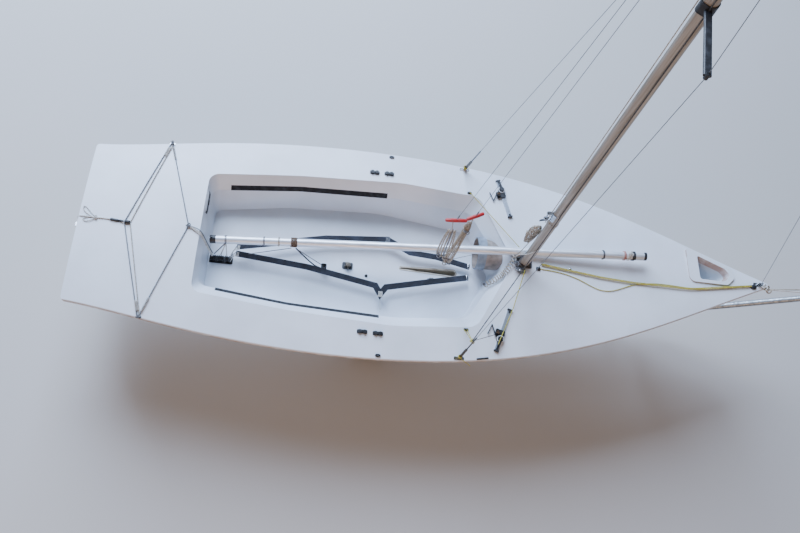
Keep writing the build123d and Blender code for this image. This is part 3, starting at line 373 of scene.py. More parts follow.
def weather(tree, shader, place, patch_mm, low, high, fresh, aged, detail=4.0):
    """Colours the shader from fresh to aged in soft patches of a real size, and returns their noise."""
    patches = node(tree, "TexNoise", {"Vector": place, "Scale": 1000 / patch_mm, "Detail": detail})
    amount = node(tree, "MapRange", {"Value": patches, "From Min": low, "From Max": high})
    colour_between(tree, shader, amount, fresh, aged)
    return patches


case_look, tree, shader, place = new_look("scuffed_case_laminate", Roughness=0.55)
MARKS = (8, 60, 300)         # squeezes 500 mm patches to marks 60 mm long, 8 mm wide and 2 mm high
long_marks = node(tree, "Mapping", {"Vector": place, "Scale": MARKS})
scuffs = weather(tree, shader, long_marks, 500, 0.42, 0.66, "#D2CCBE", "#7E6F59", 5.0)
relief(tree, shader, scuffs, 0.2)
dress(case_look, "daggerboard_case")

# Chute tube: a thin laminated tube with a blue-grey collar bonded round its open end. The tube's tan-grey is
# painted shade of the recess round it in the front wall, under patches of dust. The cloth's weave shows
# through both as fine ridges.
WAVE_PER_MM = 314.2          # a wave texture of this scale has one band to the millimetre
WEAVE_MM = 4
# the tube's two tan-greys are painted shade with dust patches on top; the collar's two blue-greys are its own
# colour and dust
for name, fresh, dusty, node_name in (("shaded_dusty_tube_laminate", "#9B9189", "#6C655E", "chute_tube"),
                                      ("grey_collar_tape", "#8794A1", "#66717C", "chute_collar")):
    look, tree, shader, place = new_look(name, Roughness=0.62)
    weave = node(tree, "TexWave", {"Vector": place, "Scale": WAVE_PER_MM / WEAVE_MM, "Distortion": 1.5,
                                     "Detail": 2.0})
    weather(tree, shader, place, 45, 0.35, 0.70, fresh, dusty)
    relief(tree, shader, weave.outputs["Fac"], 0.15)
    dress(look, node_name)

# Grip strips: moulded black rubber, ribbed across, glued along the crease of each cockpit side. Shoes have
# greyed them in patches.
RIB_MM = 4.0
grip_look, tree, shader, place = new_look("ribbed_grip_rubber", Roughness=0.78)
ribs = node(tree, "TexWave", {"Vector": place, "Scale": WAVE_PER_MM / RIB_MM}, bands_direction="X")
weather(tree, shader, place, 30, 0.45, 0.70, "#14161A", "#2E3136")
relief(tree, shader, ribs.outputs["Fac"], 0.8)
dress(grip_look, "port_grip_strip", "starboard_grip_strip")

# Steel fittings: bow fitting, chainplates, eyes, gudgeons, hounds and gooseneck, pressed and bent from
# stainless plate and riveted or bolted on. They were polished once, and fine rub marks dull the shine.
steel_look, tree, shader, place = new_look("polished_stainless", Metallic=1.0, Roughness=0.24)
weather(tree, shader, place, 6, 0.35, 0.70, "#C9CCD0", "#9FA3A8")
STEEL = (steel_look, "stainless")
dress(steel_look, "bow_fitting", "chainplates", "bridle_eyes", "rudder_gudgeons", "hounds", "gooseneck")

# Toe straps: navy polyester webbing, 40 mm wide, held by steel plates forward and lashed to the blocks aft,
# and tied up in the middle with thin cord. The weave shows as fine cross ribs, faded in patches.
WEBBING_RIB_MM = 3.0
THREAD_MM = 1.5
ROUND_OUT = 1.05             # a curve with eight points a turn lies this much inside them


def start(name, add, **settings):
    """Adds a primitive and opens it in edit mode with nothing selected."""
    bpy.ops.object.select_all(action="DESELECT")
    add(**settings)
    piece = bpy.context.object
    piece.name = piece.data.name = name
    bpy.ops.object.transform_apply(location=True, rotation=True, scale=True)
    bpy.ops.object.mode_set(mode="EDIT")
    bpy.ops.mesh.select_mode(type="FACE")
    bpy.ops.mesh.select_all(action="DESELECT")
    return piece


def pick(piece, test):
    """Selects only the faces whose middle and normal pass the test."""
    bpy.ops.mesh.select_all(action="DESELECT")
    shell = bmesh.from_edit_mesh(piece.data)
    for face in shell.faces:
        face.select_set(bool(test(face.calc_center_median(), face.normal)))
    bmesh.update_edit_mesh(piece.data)


def finished(piece, look, edge=0.0, body="boat"):
    """Leaves edit mode, rounds the edges, and gives the piece its finish and the body that it moves with."""
    bpy.ops.mesh.select_all(action="SELECT")
    bpy.ops.mesh.normals_make_consistent(inside=False)
    bpy.ops.object.mode_set(mode="OBJECT")
    if edge:
        rounding = piece.modifiers.new("edge", "BEVEL")
        rounding.width = edge
        rounding.segments = 2
        bpy.ops.object.modifier_apply(modifier="edge")
    bpy.ops.object.shade_smooth_by_angle(angle=radians(38))
    piece.data.materials.append(look)
    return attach(piece, body)


def seat(piece, point, up=(0, 0, 1), ahead=(1, 0, 0)):
    """Puts a piece at a point, its height along up and its length as near ahead as that allows."""
    up = Vector(up).normalized()
    ahead = Vector(ahead)
    ahead = (ahead - up * ahead.dot(up)).normalized()
    turn = Matrix((ahead, up.cross(ahead), up)).transposed().to_4x4()
    piece.data.transform(Matrix.Translation(point) @ turn)
    return piece


def slab(name, size, look, slot, edge, waist=1.0, crown=0.0, body="boat"):
    """A moulded or pressed block that stands on its origin: waist narrows its top, crown raises it."""
    long, wide, high = size
    piece = start(name, bpy.ops.mesh.primitive_cube_add, size=1, scale=size, location=(0, 0, high / 2))
    pick(piece, lambda middle, normal: normal.z > 0.9)
    bpy.ops.transform.resize(value=(waist, waist, 1), center_override=(0, 0, high))
    if crown:
        bpy.ops.mesh.inset(thickness=min(long, wide) * 0.2)
        bpy.ops.transform.translate(value=(0, 0, crown))
    return finished(piece, look, edge, body)


def winding(name, start, end, turns, radius, diameter, look, flat=1.0):
    """Rope wound in a helix round the line from start to end; flat presses its turns."""
    first, second = across_to(end - start)
    points = []
    for i in range(turns * 8 + 1):
        angle = i * pi / 4
        out = (first * cos(angle) + second * (flat * sin(angle))) * radius * ROUND_OUT
        points.append(start + (end - start) * (i / (turns * 8)) + out)
    return line(name, points, diameter, look)


webbing_look, tree, shader, place = new_look("navy_webbing", Roughness=0.88, Sheen_Weight=0.25)
ribs = node(tree, "TexWave", {"Vector": place, "Scale": WAVE_PER_MM / WEBBING_RIB_MM, "Distortion": 0.4},
            bands_direction="X")
threads = node(tree, "TexWave", {"Vector": place, "Scale": WAVE_PER_MM / THREAD_MM}, bands_direction="Y")
cloth = node(tree, "Math", {0: ribs.outputs["Fac"], 1: threads.outputs["Fac"]}, operation="MULTIPLY")
weather(tree, shader, place, 60, 0.40, 0.72, "#161A24", "#2B3140", 3.0)
relief(tree, shader, cloth, 0.5)
dress(webbing_look, "port_toe_strap", "starboard_toe_strap")

STRAP_ENDS = [("starboard", 2.452, -0.039, 0.2), ("port", 2.460, 0.042, 0.2)]
for side, x, y, z in STRAP_ENDS:
    plate = slab(f"{side}_strap_plate", (0.012, 0.040, 0.0025), *STEEL, 0.0006, 0.9, 0.0008)
    seat(plate, boat(x, y, z), (0.05, 0, 1))
STRAP_LEADS = {              # after end of each strap, and where its lashings start on the blocks' plate
    "starboard": ((0.938, -0.054, 0.233),
                  [(0.905, -0.090, 0.176), (0.900, -0.070, 0.180), (0.902, -0.056, 0.172)]),
    "port": ((0.938, -0.008, 0.233),
             [(0.900, -0.052, 0.184), (0.902, -0.044, 0.176), (0.903, -0.058, 0.170)]),
}
STRAP_CORD = 0.004
for side, ((x, y, z), leads) in STRAP_LEADS.items():
    whipped = route((x + 0.004, y, z), (x + 0.020, y - 0.001, z))
    winding(f"{side}_strap_whipping", *whipped, 4, 0.021, 0.003, "white", 0.17)
    for i, lead in enumerate(leads):
        over = (x + 0.012, y + 0.012 * (i - 1), z + 0.002)
        under = (x - 0.012, y + 0.008 * (i - 1), z - 0.010)
        line(f"{side}_strap_lead_{i}", route(over, under, lead), STRAP_CORD,
             "grey" if i == 2 else "white")
STRAP_TIES = [               # side, middle of the bunched strap, points of the tail, cord
    ("starboard", (1.880, -0.226, 0.224),
     [(1.884, -0.262, 0.205), (1.888, -0.300, 0.186), (1.892, -0.330, 0.168)], "white"),
    ("port", (1.905, 0.166, 0.219), [(1.902, 0.186, 0.214), (1.896, 0.196, 0.196)], "grey"),
]
for side, (x, y, z), tail, cord_name in STRAP_TIES:
    winding(f"{side}_strap_lashing", boat(x - 0.014, y, z), boat(x + 0.014, y, z), 5, 0.023, STRAP_CORD,
            cord_name, 0.22)
    line(f"{side}_strap_tie", route((x, y, z + 0.005), *tail), STRAP_CORD, cord_name)

# Black mouldings: cleats, cars, fairleads, blocks, bungs, grips and end caps, moulded in glass-filled nylon
# and acetal and screwed or riveted on. Satin when new, they are greyed and dusty after years outside.
plastic_look, tree, shader, place = new_look("black_moulded_nylon", Roughness=0.46)
dust = weather(tree, shader, place, 25, 0.42, 0.75, "#141518", "#3A3C40", 5.0)
relief(tree, shader, dust, 0.08)
NYLON = (plastic_look, "black_plastic")
dress(plastic_look, "spreaders", "masthead", "boom_aft_cap", "boom_forward_cap", "port_track_stops",
      "starboard_track_stops", "port_jib_car", "starboard_jib_car", "cam_cleats", "side_fairleads",
      "mainsheet_base", "drain_bungs", "handle_grips", "cockpit_blocks")

# Wall hatch: a lid and frame moulded in white nylon and screwed to the cockpit wall, clouded by dust. A dark
# band across the middle is painted shade, in place of the slot to grip the lid by.
HATCH_MIDDLE = 0.381
hatch_look, tree, shader, place = new_look("white_hatch_nylon", Roughness=0.45)
parts = node(tree, "SeparateXYZ", {"Vector": place})
off = node(tree, "Math", {0: parts.outputs[2], 1: keel_z + HATCH_MIDDLE}, operation="SUBTRACT")
away = node(tree, "Math", {0: off, 1: 0.0}, operation="ABSOLUTE")
# painted shade of the grip slot: fully dark within 9 mm of the hatch's middle height, fading out by 13 mm
painted_slot_shade = node(tree, "MapRange", {"Value": away, "From Min": 0.013, "From Max": 0.009})
dust = node(tree, "TexNoise", {"Vector": place, "Scale": 1000 / 30, "Detail": 4.0})
body = colour_between(tree, shader, dust, "#D5DAE0", "#B9BEC4")
colour_between(tree, shader, painted_slot_shade, body, "#1B1C20")
dress(hatch_look, "wall_hatch")

# Mast: extruded aluminium with dull grey-bronze anodising, streaked lengthwise by halyards and rain. It
# stands on its step, and a riveted sleeve joins its two lengths.
MAST_PLACE = 2.768
MAST_RAKE = 0.02
MAST_STREAKS = (90, 90, 3)   # squeezes 1 m patches to streaks 11 mm wide and 330 mm long


def roughness_between(tree, shader, share, low, high):
    """The shader's roughness runs from low to high with share."""
    rough = node(tree, "MapRange", {"Value": share, "To Min": low, "To Max": high})
    tree.links.new(rough.outputs[0], shader.inputs["Roughness"])


mast_look, tree, shader, place = new_look("bronze_anodised_mast", Metallic=0.35, Roughness=0.44)
stretched = node(tree, "Mapping", {"Vector": place, "Scale": MAST_STREAKS})
streaks = weather(tree, shader, stretched, 1000, 0.36, 0.66, "#B7B1A7", "#958E82", 6.0)
roughness_between(tree, shader, streaks, 0.34, 0.55)
relief(tree, shader, streaks, 0.06)
dress(mast_look, "mast_tube", "mast_sleeve")
mast_foot = Vector((boat(MAST_PLACE, 0, 0).x, 0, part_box("mast_tube")[0].z))
rake = Vector((-MAST_RAKE, 0, 1)).normalized()


def on_mast(height, aft=0.0, port=0.0):
    """A point at a height up the mast, aft of and to port of its middle."""
    return mast_foot + rake * height + Vector((-aft, port, 0))


# Mast fittings: a black nylon cleat riveted to the port face, a lever that stands out aft of it, and the
# heads of the steel rivets that hold the joint sleeve.
MAST_SIDE = 0.0262           # from the mast's middle to its port or starboard face


def turned(name, profile, look, slot, sides, stretch=1.0, body="boat"):
    """A round part drawn up from its base through (radius, height) pairs; stretch makes it oval."""
    radius, height = profile[0]
    piece = start(name, bpy.ops.mesh.primitive_circle_add, vertices=sides, radius=radius, fill_type="NGON",
                  location=(0, 0, height))
    bpy.ops.mesh.select_all(action="SELECT")
    for next_radius, next_height in profile[1:]:
        bpy.ops.mesh.extrude_region_move(TRANSFORM_OT_translate={"value": (0, 0, next_height - height)})
        growth = next_radius / radius
        bpy.ops.transform.resize(value=(growth, growth, 1), center_override=(0, 0, next_height))
        radius, height = next_radius, next_height
    bpy.ops.mesh.select_all(action="SELECT")
    bpy.ops.transform.resize(value=(stretch, 1, 1), center_override=(0, 0, 0))
    return finished(piece, look, body=body)


def joined(name, pieces):
    """Several parts of one fitting as one piece, each with its own finish."""
    bpy.ops.object.select_all(action="DESELECT")
    for piece in pieces:
        piece.select_set(True)
    bpy.context.view_layer.objects.active = pieces[0]
    bpy.ops.object.join()
    pieces[0].name = pieces[0].data.name = name
    return pieces[0]


base = slab("mast_cleat", (0.062, 0.018, 0.008), *NYLON, 0.002, 0.9)
horns = slab("horns", (0.110, 0.014, 0.010), *NYLON, 0.004, 0.7)
seat(horns, (0, 0, 0.020))
neck = turned("neck", [(0.010, 0.006), (0.007, 0.014), (0.009, 0.022)], *NYLON, 16)
cleat = joined("mast_cleat", [base, horns, neck])
seat(cleat, on_mast(0.545, 0.0, MAST_SIDE), (0, 1, 0), rake)
lever = slab("mast_lever", (0.080, 0.016, 0.009), *NYLON, 0.003, 0.75)
seat(lever, on_mast(0.600, 0.046, 0.012), (-0.3, 0.9, 0.1), (-0.95, 0.1, 0.3))
RIVET = [(0.0035, 0.0), (0.0032, 0.0010), (0.0018, 0.0018)]
rivets = []
for side in (1, -1):
    for level in (0.580, 0.626):
        rivet = turned(f"rivet_{side}_{level}", RIVET, *STEEL, 12)
        rivets.append(seat(rivet, on_mast(level, 0.0, side * MAST_SIDE), (0, side, 0), rake))
joined("sleeve_rivets", rivets)

# Stays: 3 mm stranded stainless wire, dull grey, with the lay of its strands as fine slanting lines. Each
# shroud ends in an adjuster, two weathered steel plates with pin holes, pinned to the chainplate.
LAY_MM = 4
wire_look, tree, shader, place = new_look("stranded_steel_wire", Metallic=0.9, Roughness=0.38)
lay = node(tree, "TexWave", {"Vector": place, "Scale": WAVE_PER_MM / LAY_MM, "Distortion": 0.6},
           bands_direction="DIAGONAL")
colour_between(tree, shader, lay.outputs["Fac"], "#8F9295", "#5B5E62")
relief(tree, shader, lay.outputs["Fac"], 0.25)
dress(wire_look, "port_shroud", "starboard_shroud", "forestay")
plates_look, tree, shader, place = new_look("weathered_steel_plate", Metallic=0.9, Roughness=0.42)
weather(tree, shader, place, 12, 0.38, 0.66, "#8D8A84", "#4E4A44", 5.0)
dress(plates_look, "port_shroud_adjuster", "starboard_shroud_adjuster")

# Boom: a drawn round aluminium tube that lies unshipped in the boat. Its skin is satin and slightly chalky,
# and darker in long marks where hands and sheets rub it.
BOOM_MARKS = (4, 140, 140)   # squeezes 1 m patches to marks 250 mm long and 7 mm wide
boom_look, tree, shader, place = new_look("satin_boom_aluminium", Metallic=0.45, Roughness=0.36)
drawn = node(tree, "Mapping", {"Vector": place, "Scale": BOOM_MARKS})
marks = weather(tree, shader, drawn, 1000, 0.40, 0.68, "#EBF1F7", "#C4CCD5", 5.0)
roughness_between(tree, shader, marks, 0.28, 0.50)
dress(boom_look, "boom_tube")

# Jib tracks: extruded aluminium bars, clear anodised and finely scratched, drilled with a row of stop holes
# and bolted through the side decks.
track_look, tree, shader, place = new_look("anodised_track", Metallic=0.6, Roughness=0.34)
weather(tree, shader, place, 3, 0.40, 0.70, "#B9C3CE", "#8F99A4", 3.0)
dress(track_look, "port_jib_track", "starboard_jib_track")

# Main bridle: grey and pale braided lines, doubled from the two eyes aft to a small block on the centreline
# and single forward to a knot, with white cord wrapped round them near the eyes. A white lanyard leads on
# over the transom. All are tied, and a nylon clip with a snout lies just aft of the block.
BRIDLE_EYE = (0.458, 0.588)
BRIDLE_KNOT = (0.653, 0.014)
BRIDLE_BLOCK = (0.290, -0.005)
BRIDLE_CORD = 0.006
SIDES = (("port", 1), ("starboard", -1))
BRIDLE_WRAPS = [             # name, far end, shares of the way between which it lies, radius, flatness
    ("forward", BRIDLE_KNOT, (0.05, 0.20), 0.0055, 1.0),
    ("aft", BRIDLE_BLOCK, (0.06, 0.17), 0.0105, 0.55),
]
TAIL_DROP = [(0.722, -0.018, 0.438), (0.742, -0.032, 0.420), (0.768, -0.054, 0.300), (0.790, -0.066, 0.205)]
EIGHTHS = [i * pi / 4 for i in range(8)]     # the angles of a ring's control points


def part_way(start, end, share):
    """The plan place at a share of the way from start to end."""
    return [a + (b - a) * share for a, b in zip(start, end)]


def deck_line(name, start, end, look):
    """A taut line of the bridle that lies on the cambered deck between two plan places."""
    places = [part_way(start, end, i / 6) for i in range(7)]
    return line(name, [on_deck(x, y, BRIDLE_CORD) for x, y in places], BRIDLE_CORD, look)


for side, sign in SIDES:
    eye = (BRIDLE_EYE[0], sign * BRIDLE_EYE[1])
    deck_line(f"{side}_bridle_forward", eye, BRIDLE_KNOT, "grey")
    for strand in (-1, 1):
        eye_side = (eye[0] + strand * 0.007, eye[1])
        block_side = (BRIDLE_BLOCK[0] + strand * 0.017, BRIDLE_BLOCK[1] + sign * 0.004)
        deck_line(f"{side}_bridle_aft_{strand}", eye_side, block_side,
                  "grey" if strand < 0 else "pale")
    for wrap, target, span, radius, flat in BRIDLE_WRAPS:
        ends = [on_deck(*part_way(eye, target, share), 0.008) for share in span]
        winding(f"{side}_bridle_wrap_{wrap}", *ends, 11, radius, 0.003, "white", flat)
    knot(f"{side}_bridle_eye_knot", on_deck(*eye, 0.020), 0.022, 0.005, "grey")
knot("bridle_forward_knot", on_deck(*BRIDLE_KNOT, 0.012), 0.030, BRIDLE_CORD, "grey")
for i, (shift, cord_name) in enumerate([(0.0, "white"), (0.010, "grey"), (-0.011, "white")]):
    tail = [on_deck(*BRIDLE_KNOT, 0.010), on_deck(0.700, -0.006 + shift, 0.007)]
    tail += [boat(x, y + shift, z) for x, y, z in TAIL_DROP]
    line(f"bridle_tail_{i}", tail, BRIDLE_CORD, cord_name)
shell = slab("bridle_block", (0.040, 0.020, 0.016), *NYLON, 0.004, 0.8, 0.002)
seat(shell, on_deck(*BRIDLE_BLOCK, 0.002))
hook = slab("hook", (0.056, 0.017, 0.010), *NYLON, 0.003, 0.8, 0.001)
seat(hook, on_deck(0.212, 0.002, 0.002), (0, 0, 1), (1, -0.1, 0))
snout = turned("snout", [(0.004, 0.0), (0.0075, 0.006), (0.0065, 0.024), (0.003, 0.030)], *NYLON, 14)
seat(snout, on_deck(0.238, 0.000, 0.007), (1, -0.1, 0))
joined("bridle_clip", [hook, snout])
ring = [on_deck(0.268 + 0.012 * cos(a), -0.003 + 0.009 * sin(a), 0.008) for a in EIGHTHS]
line("bridle_ring", ring, 0.004, "white", closed=True)
LANYARD = [(0.186, 0.004), (0.150, 0.006), (0.098, 0.004), (0.050, 0.007), (0.012, 0.005)]
LANYARD_DROP = [(-0.006, 0.005, 0.412), (-0.010, 0.006, 0.380), (-0.024, 0.002, 0.318)]
lanyard = [on_deck(x, y, 0.005) for x, y in LANYARD] + route(*LANYARD_DROP)
line("transom_lanyard", lanyard, 0.007, "white")
LANYARD_LOOPS = [
    [(0.098, 0.008), (0.066, 0.036), (0.030, 0.074), (0.012, 0.066), (0.034, 0.030), (0.082, 0.006)],
    [(0.100, 0.002), (0.076, -0.020), (0.040, -0.028), (0.022, -0.008), (0.056, 0.002)],
]
for i, loop in enumerate(LANYARD_LOOPS):
    lying = [on_deck(x, y, 0.004 + 0.003 * (j % 2)) for j, (x, y) in enumerate(loop)]
    line(f"lanyard_loop_{i}", lying, 0.005, "white")
knot("lanyard_knot", on_deck(0.100, 0.004, 0.010), 0.024, 0.005, "white")

# Boom ropes: turns of cord tied round the tube, and taut lines from them to the blocks aft and on the sole.
# The after end carries a bent steel shackle for the outhaul.
BOOM_START = (0.812, 0.002, 0.294)
BOOM_SLOPE = (1.0, 0.0341, 0.0947)
BOOM_RADIUS = 0.026


def on_boom(x, lift=0.0):
    """The boom's axis at a distance from the transom, or a point straight above or below it."""
    place = [start + slope * (x - BOOM_START[0]) for start, slope in zip(BOOM_START, BOOM_SLOPE)]
    return boat(*place) + Vector((0, 0, lift))


BOOM_TURNS = [               # name, place, width, turns, diameter, cord
    ("outhaul_turns", 0.872, 0.012, 2, 0.004, "grey"),
    ("boom_loop", 1.112, 0.010, 2, 0.004, "grey"),
    ("boom_beige_turn", 1.205, 0.010, 2, 0.004, "beige"),
    ("boom_tie", 1.300, 0.040, 6, 0.006, "brown"),
    ("boom_forward_turns", 3.268, 0.012, 2, 0.005, "black"),
    ("boom_end_red_turns", 3.405, 0.016, 3, 0.005, "red"),
    ("boom_end_white_turns", 3.432, 0.016, 3, 0.005, "white"),
    ("boom_end_black_turns", 3.462, 0.022, 4, 0.005, "black"),
]
for name, x, width, turns, diameter, cord_name in BOOM_TURNS:
    half = (on_boom(x + width / 2) - on_boom(x - width / 2)) / 2
    winding(name, on_boom(x) - half, on_boom(x) + half, turns, BOOM_RADIUS + diameter * 0.6, diameter,
            cord_name)
knot("boom_end_knot", on_boom(3.440, BOOM_RADIUS + 0.010), 0.030, 0.005, "white")
knot("boom_tie_knot", on_boom(1.300, -BOOM_RADIUS - 0.008), 0.030, 0.006, "beige")
BOOM_LINES = [               # name, start, end, diameter, cord
    ("boom_to_sole_line", (1.312, -0.010, 0.316), (1.486, -0.052, 0.190), 0.005, "grey"),
    ("boom_to_blocks_line", (0.893, -0.066, 0.192), (1.286, -0.012, 0.316), 0.005, "grey"),
    ("outhaul_fall_0", (0.872, -0.022, 0.290), (0.842, -0.060, 0.196), 0.007, "white"),
    ("outhaul_fall_1", (0.866, -0.022, 0.288), (0.800, -0.058, 0.198), 0.007, "grey"),
    ("outhaul_fall_2", (0.876, -0.022, 0.290), (0.880, -0.064, 0.196), 0.005, "beige"),
]
for name, begin, end, diameter, cord_name in BOOM_LINES:
    line(name, route(begin, end), diameter, cord_name)
SHACKLE_BOW = [(0.0, 0.010, -0.004), (-0.016, 0.010, -0.008), (-0.026, 0.006, -0.018),
               (-0.026, -0.006, -0.018), (-0.016, -0.010, -0.008), (0.0, -0.010, -0.004)]
shackle = [boat(0.806 + dx, 0.002 + dy, 0.294 + dz) for dx, dy, dz in SHACKLE_BOW]
line("outhaul_shackle", shackle, 0.005, *STEEL)

# Small fittings: on the sole the swivel's beige cord, a steel eye tied to it, and a button, a plug and a hook
# by the slot; along the deck more buttons, leads and bars. They are of black nylon or steel.
SUNK = -0.0005               # lift of a fitting's base, just inside the surface
winding("swivel_lashing", *route((1.640, -0.025, 0.180), (1.672, -0.025, 0.180)), 4, 0.013, 0.004, "beige")
eye_ring = [boat(1.662 + 0.009 * cos(a), -0.055, 0.160 + 0.009 * sin(a)) for a in EIGHTHS]
line("sole_eye", eye_ring, 0.003, *STEEL, closed=True)
line("sole_eye_tie", route((1.662, -0.055, 0.168), (1.660, -0.046, 0.180), (1.657, -0.036, 0.180)), 0.003,
     "beige")
ROUND_FITTINGS = [           # name, plan place, profile, finish, oval
    ("sole_button", (1.785, -0.081), [(0.011, 0), (0.010, 0.004), (0.006, 0.007)], NYLON, 1.0),
    ("sole_plug", (2.227, -0.060), [(0.014, 0), (0.013, 0.005), (0.007, 0.009)], NYLON, 1.0),
    ("foot_fitting", (2.752, -0.056), [(0.019, 0), (0.018, 0.008), (0.010, 0.012)], STEEL, 1.5),
    ("deck_button", (3.072, -0.007), [(0.009, 0), (0.008, 0.004), (0.004, 0.007)], STEEL, 1.0),
    ("bow_lead", (4.292, -0.020), [(0.016, 0), (0.014, 0.009), (0.008, 0.013)], NYLON, 1.4),
]
for name, (x, y), profile, finish, oval in ROUND_FITTINGS:
    seat(turned(name, profile, *finish, 20, oval), on_deck(x, y, SUNK))
FLAT_FITTINGS = [            # name, plan place, size, finish, waist, direction
    ("side_bar", (2.5175, -0.644), (0.080, 0.012, 0.005), NYLON, 0.85, (0.98, 0.19, 0)),
    ("boom_side_fitting", (2.920, 0.102), (0.120, 0.024, 0.014), NYLON, 0.7, (1, 0.07, 0)),
    ("foredeck_fairlead", (2.862, -0.028), (0.030, 0.026, 0.013), NYLON, 0.6, (1, 0, 0)),
    ("sole_hook", (2.205, -0.052), (0.026, 0.010, 0.008), STEEL, 0.7, (1, 0.4, 0)),
]
for name, (x, y), size, finish, waist, ahead in FLAT_FITTINGS:
    seat(slab(name, size, *finish, 0.002, waist, 0.001), on_deck(x, y, SUNK), (0, 0, 1), ahead)

# Jib and shroud lines: braided polyester, brown from the starboard car and yellow from the fairlead, tied to
# a knot low on the starboard shroud, and a black line from there to the mast. Yellow ones run to the mast's
# foot, and each chainplate is lashed with the same cord.
SHROUD_KNOT = (2.396, -0.617, 0.655)
TRACK_END = (2.694, -0.318, 0.466)
knot("shroud_knot", boat(*SHROUD_KNOT), 0.030, 0.005, "yellow")
RIG_LINES = [                # name, start, end, diameter, cord
    ("car_line", (2.573, -0.503, 0.462), SHROUD_KNOT, 0.004, "brown"),
    ("fairlead_line_0", (2.392, -0.480, 0.436), SHROUD_KNOT, 0.004, "yellow"),
    ("fairlead_line_1", (2.410, -0.478, 0.436), SHROUD_KNOT, 0.004, "yellow"),
    ("starboard_mast_line", SHROUD_KNOT, (2.750, -0.034, 1.200), 0.0055, "black"),
    ("port_foot_line", (2.407, 0.470, 0.440), (2.760, 0.062, 0.480), 0.005, "yellow"),
    ("starboard_track_line", TRACK_END, (2.764, -0.062, 0.486), 0.006, "yellow"),
    ("starboard_car_cord", (2.600, -0.560, 0.466), TRACK_END, 0.005, "yellow"),
]
for name, begin, end, diameter, cord_name in RIG_LINES:
    line(name, route(begin, end), diameter, cord_name)
for side, sign in SIDES:
    plate = boat(2.371, sign * 0.6535, 0.440)
    low, high = plate - Vector((0, 0, 0.008)), plate + Vector((0, 0, 0.010))
    winding(f"{side}_chainplate_lashing", low, high, 5, 0.011, 0.004, "yellow", 0.8)
PLATE_TAIL = [(2.374, -0.664, 0.440), (2.400, -0.679, 0.428), (2.428, -0.688, 0.414), (2.446, -0.692, 0.386)]
line("starboard_plate_tail", route(*PLATE_TAIL), 0.004, "yellow")
CAR_HEAD = (2.6204, 0.5168)  # swivel of each jib car, where a pale nylon ring sits under the lever
CAR_RING = 0.0215            # the ring's radius
for side, sign in SIDES:
    head = on_deck(CAR_HEAD[0], sign * CAR_HEAD[1], 0.019)
    ring = [head + Vector((CAR_RING * cos(a), CAR_RING * sin(a), 0)) for a in EIGHTHS]
    line(f"{side}_car_ring", ring, 0.008, hatch_look, "black_plastic", closed=True)
    knot(f"{side}_car_knot", on_deck(2.600, sign * 0.478, 0.030), 0.022, 0.004, "brown")

# Mast lines: braided halyards down the port side and the after face to the cleat and lever, a dark line up
# the starboard side, turns of rope round the foot, and knots that lie and hang in two tangles.
TANGLED_CORD = 0.0055


def knots(name, places, diameter, cord_names, lean):
    """A tangle of knots, given as points with sizes, each of them leaning its own way."""
    for i, (point, size) in enumerate(places):
        way = Vector((cos(i * lean[0]), sin(i * lean[1]), lean[2]))
        knot(f"{name}_{i}", point, size, diameter, cord_names[i % len(cord_names)], way)


MAST_LINES = [               # name, height and place of each end, diameter, cord
    ("halyard_white", (0.62, 0.012, 0.031), (4.34, 0.010, 0.032), 0.005, "white"),
    ("halyard_grey", (0.58, -0.006, 0.032), (4.36, -0.006, 0.032), 0.004, "grey"),
    ("halyard_beige", (0.57, 0.034, 0.016), (4.30, 0.040, 0.012), 0.005, "beige"),
    ("starboard_dark_line", (0.735, 0.004, -0.032), (4.34, 0.004, -0.030), 0.005, "black"),
]
for name, low, high, diameter, cord_name in MAST_LINES:
    line(name, [on_mast(*low), on_mast(*high)], diameter, cord_name)
winding("mast_foot_ring", on_mast(0.006), on_mast(0.022), 2, 0.036, 0.007, "black")
winding("mast_cleat_turns", on_mast(0.518, 0.0, 0.036), on_mast(0.548, 0.0, 0.036), 4, 0.010, 0.005, "white")
CROSSING_LINE = [(0.300, -0.012, -0.031), (0.215, 0.024, -0.032), (0.140, 0.050, -0.004),
                 (0.075, 0.052, 0.026), (0.020, 0.062, 0.030)]
line("mast_crossing_line", [on_mast(*place) for place in CROSSING_LINE], 0.005, "white")
FOOT_LINES = [((0.000, 0.050, 0.046), (0.300, 0.034, 0.030), "beige"),
              ((0.000, 0.058, -0.030), (0.180, 0.036, -0.006), "grey")]
for i, (low, high, cord_name) in enumerate(FOOT_LINES):
    line(f"mast_foot_line_{i}", [on_mast(*low), on_mast(*high)], 0.005, cord_name)
HALYARD_TANGLE = [(2.712, 0.060, 0.800, 0.056), (2.748, 0.078, 0.760, 0.062), (2.722, 0.084, 0.730, 0.050),
                  (2.750, 0.060, 0.820, 0.048), (2.708, 0.078, 0.745, 0.044)]
knots("halyard_tangle", [(boat(*place), size) for *place, size in HALYARD_TANGLE], TANGLED_CORD,
      ("pale", "beige", "white"), (2.1, 1.7, 0.4))
FOOT_TANGLE = [(2.700, 0.030, 0.050), (2.716, -0.050, 0.036), (2.742, 0.064, 0.040), (2.722, 0.052, 0.046),
               (2.706, -0.010, 0.054)]
lying = [(on_deck(x, y, 0.020 + 0.006 * (i % 3)), size) for i, (x, y, size) in enumerate(FOOT_TANGLE)]
knots("mast_foot_knot", lying, TANGLED_CORD, ("white", "grey", "beige"), (1.3, 2.2, 1.2))

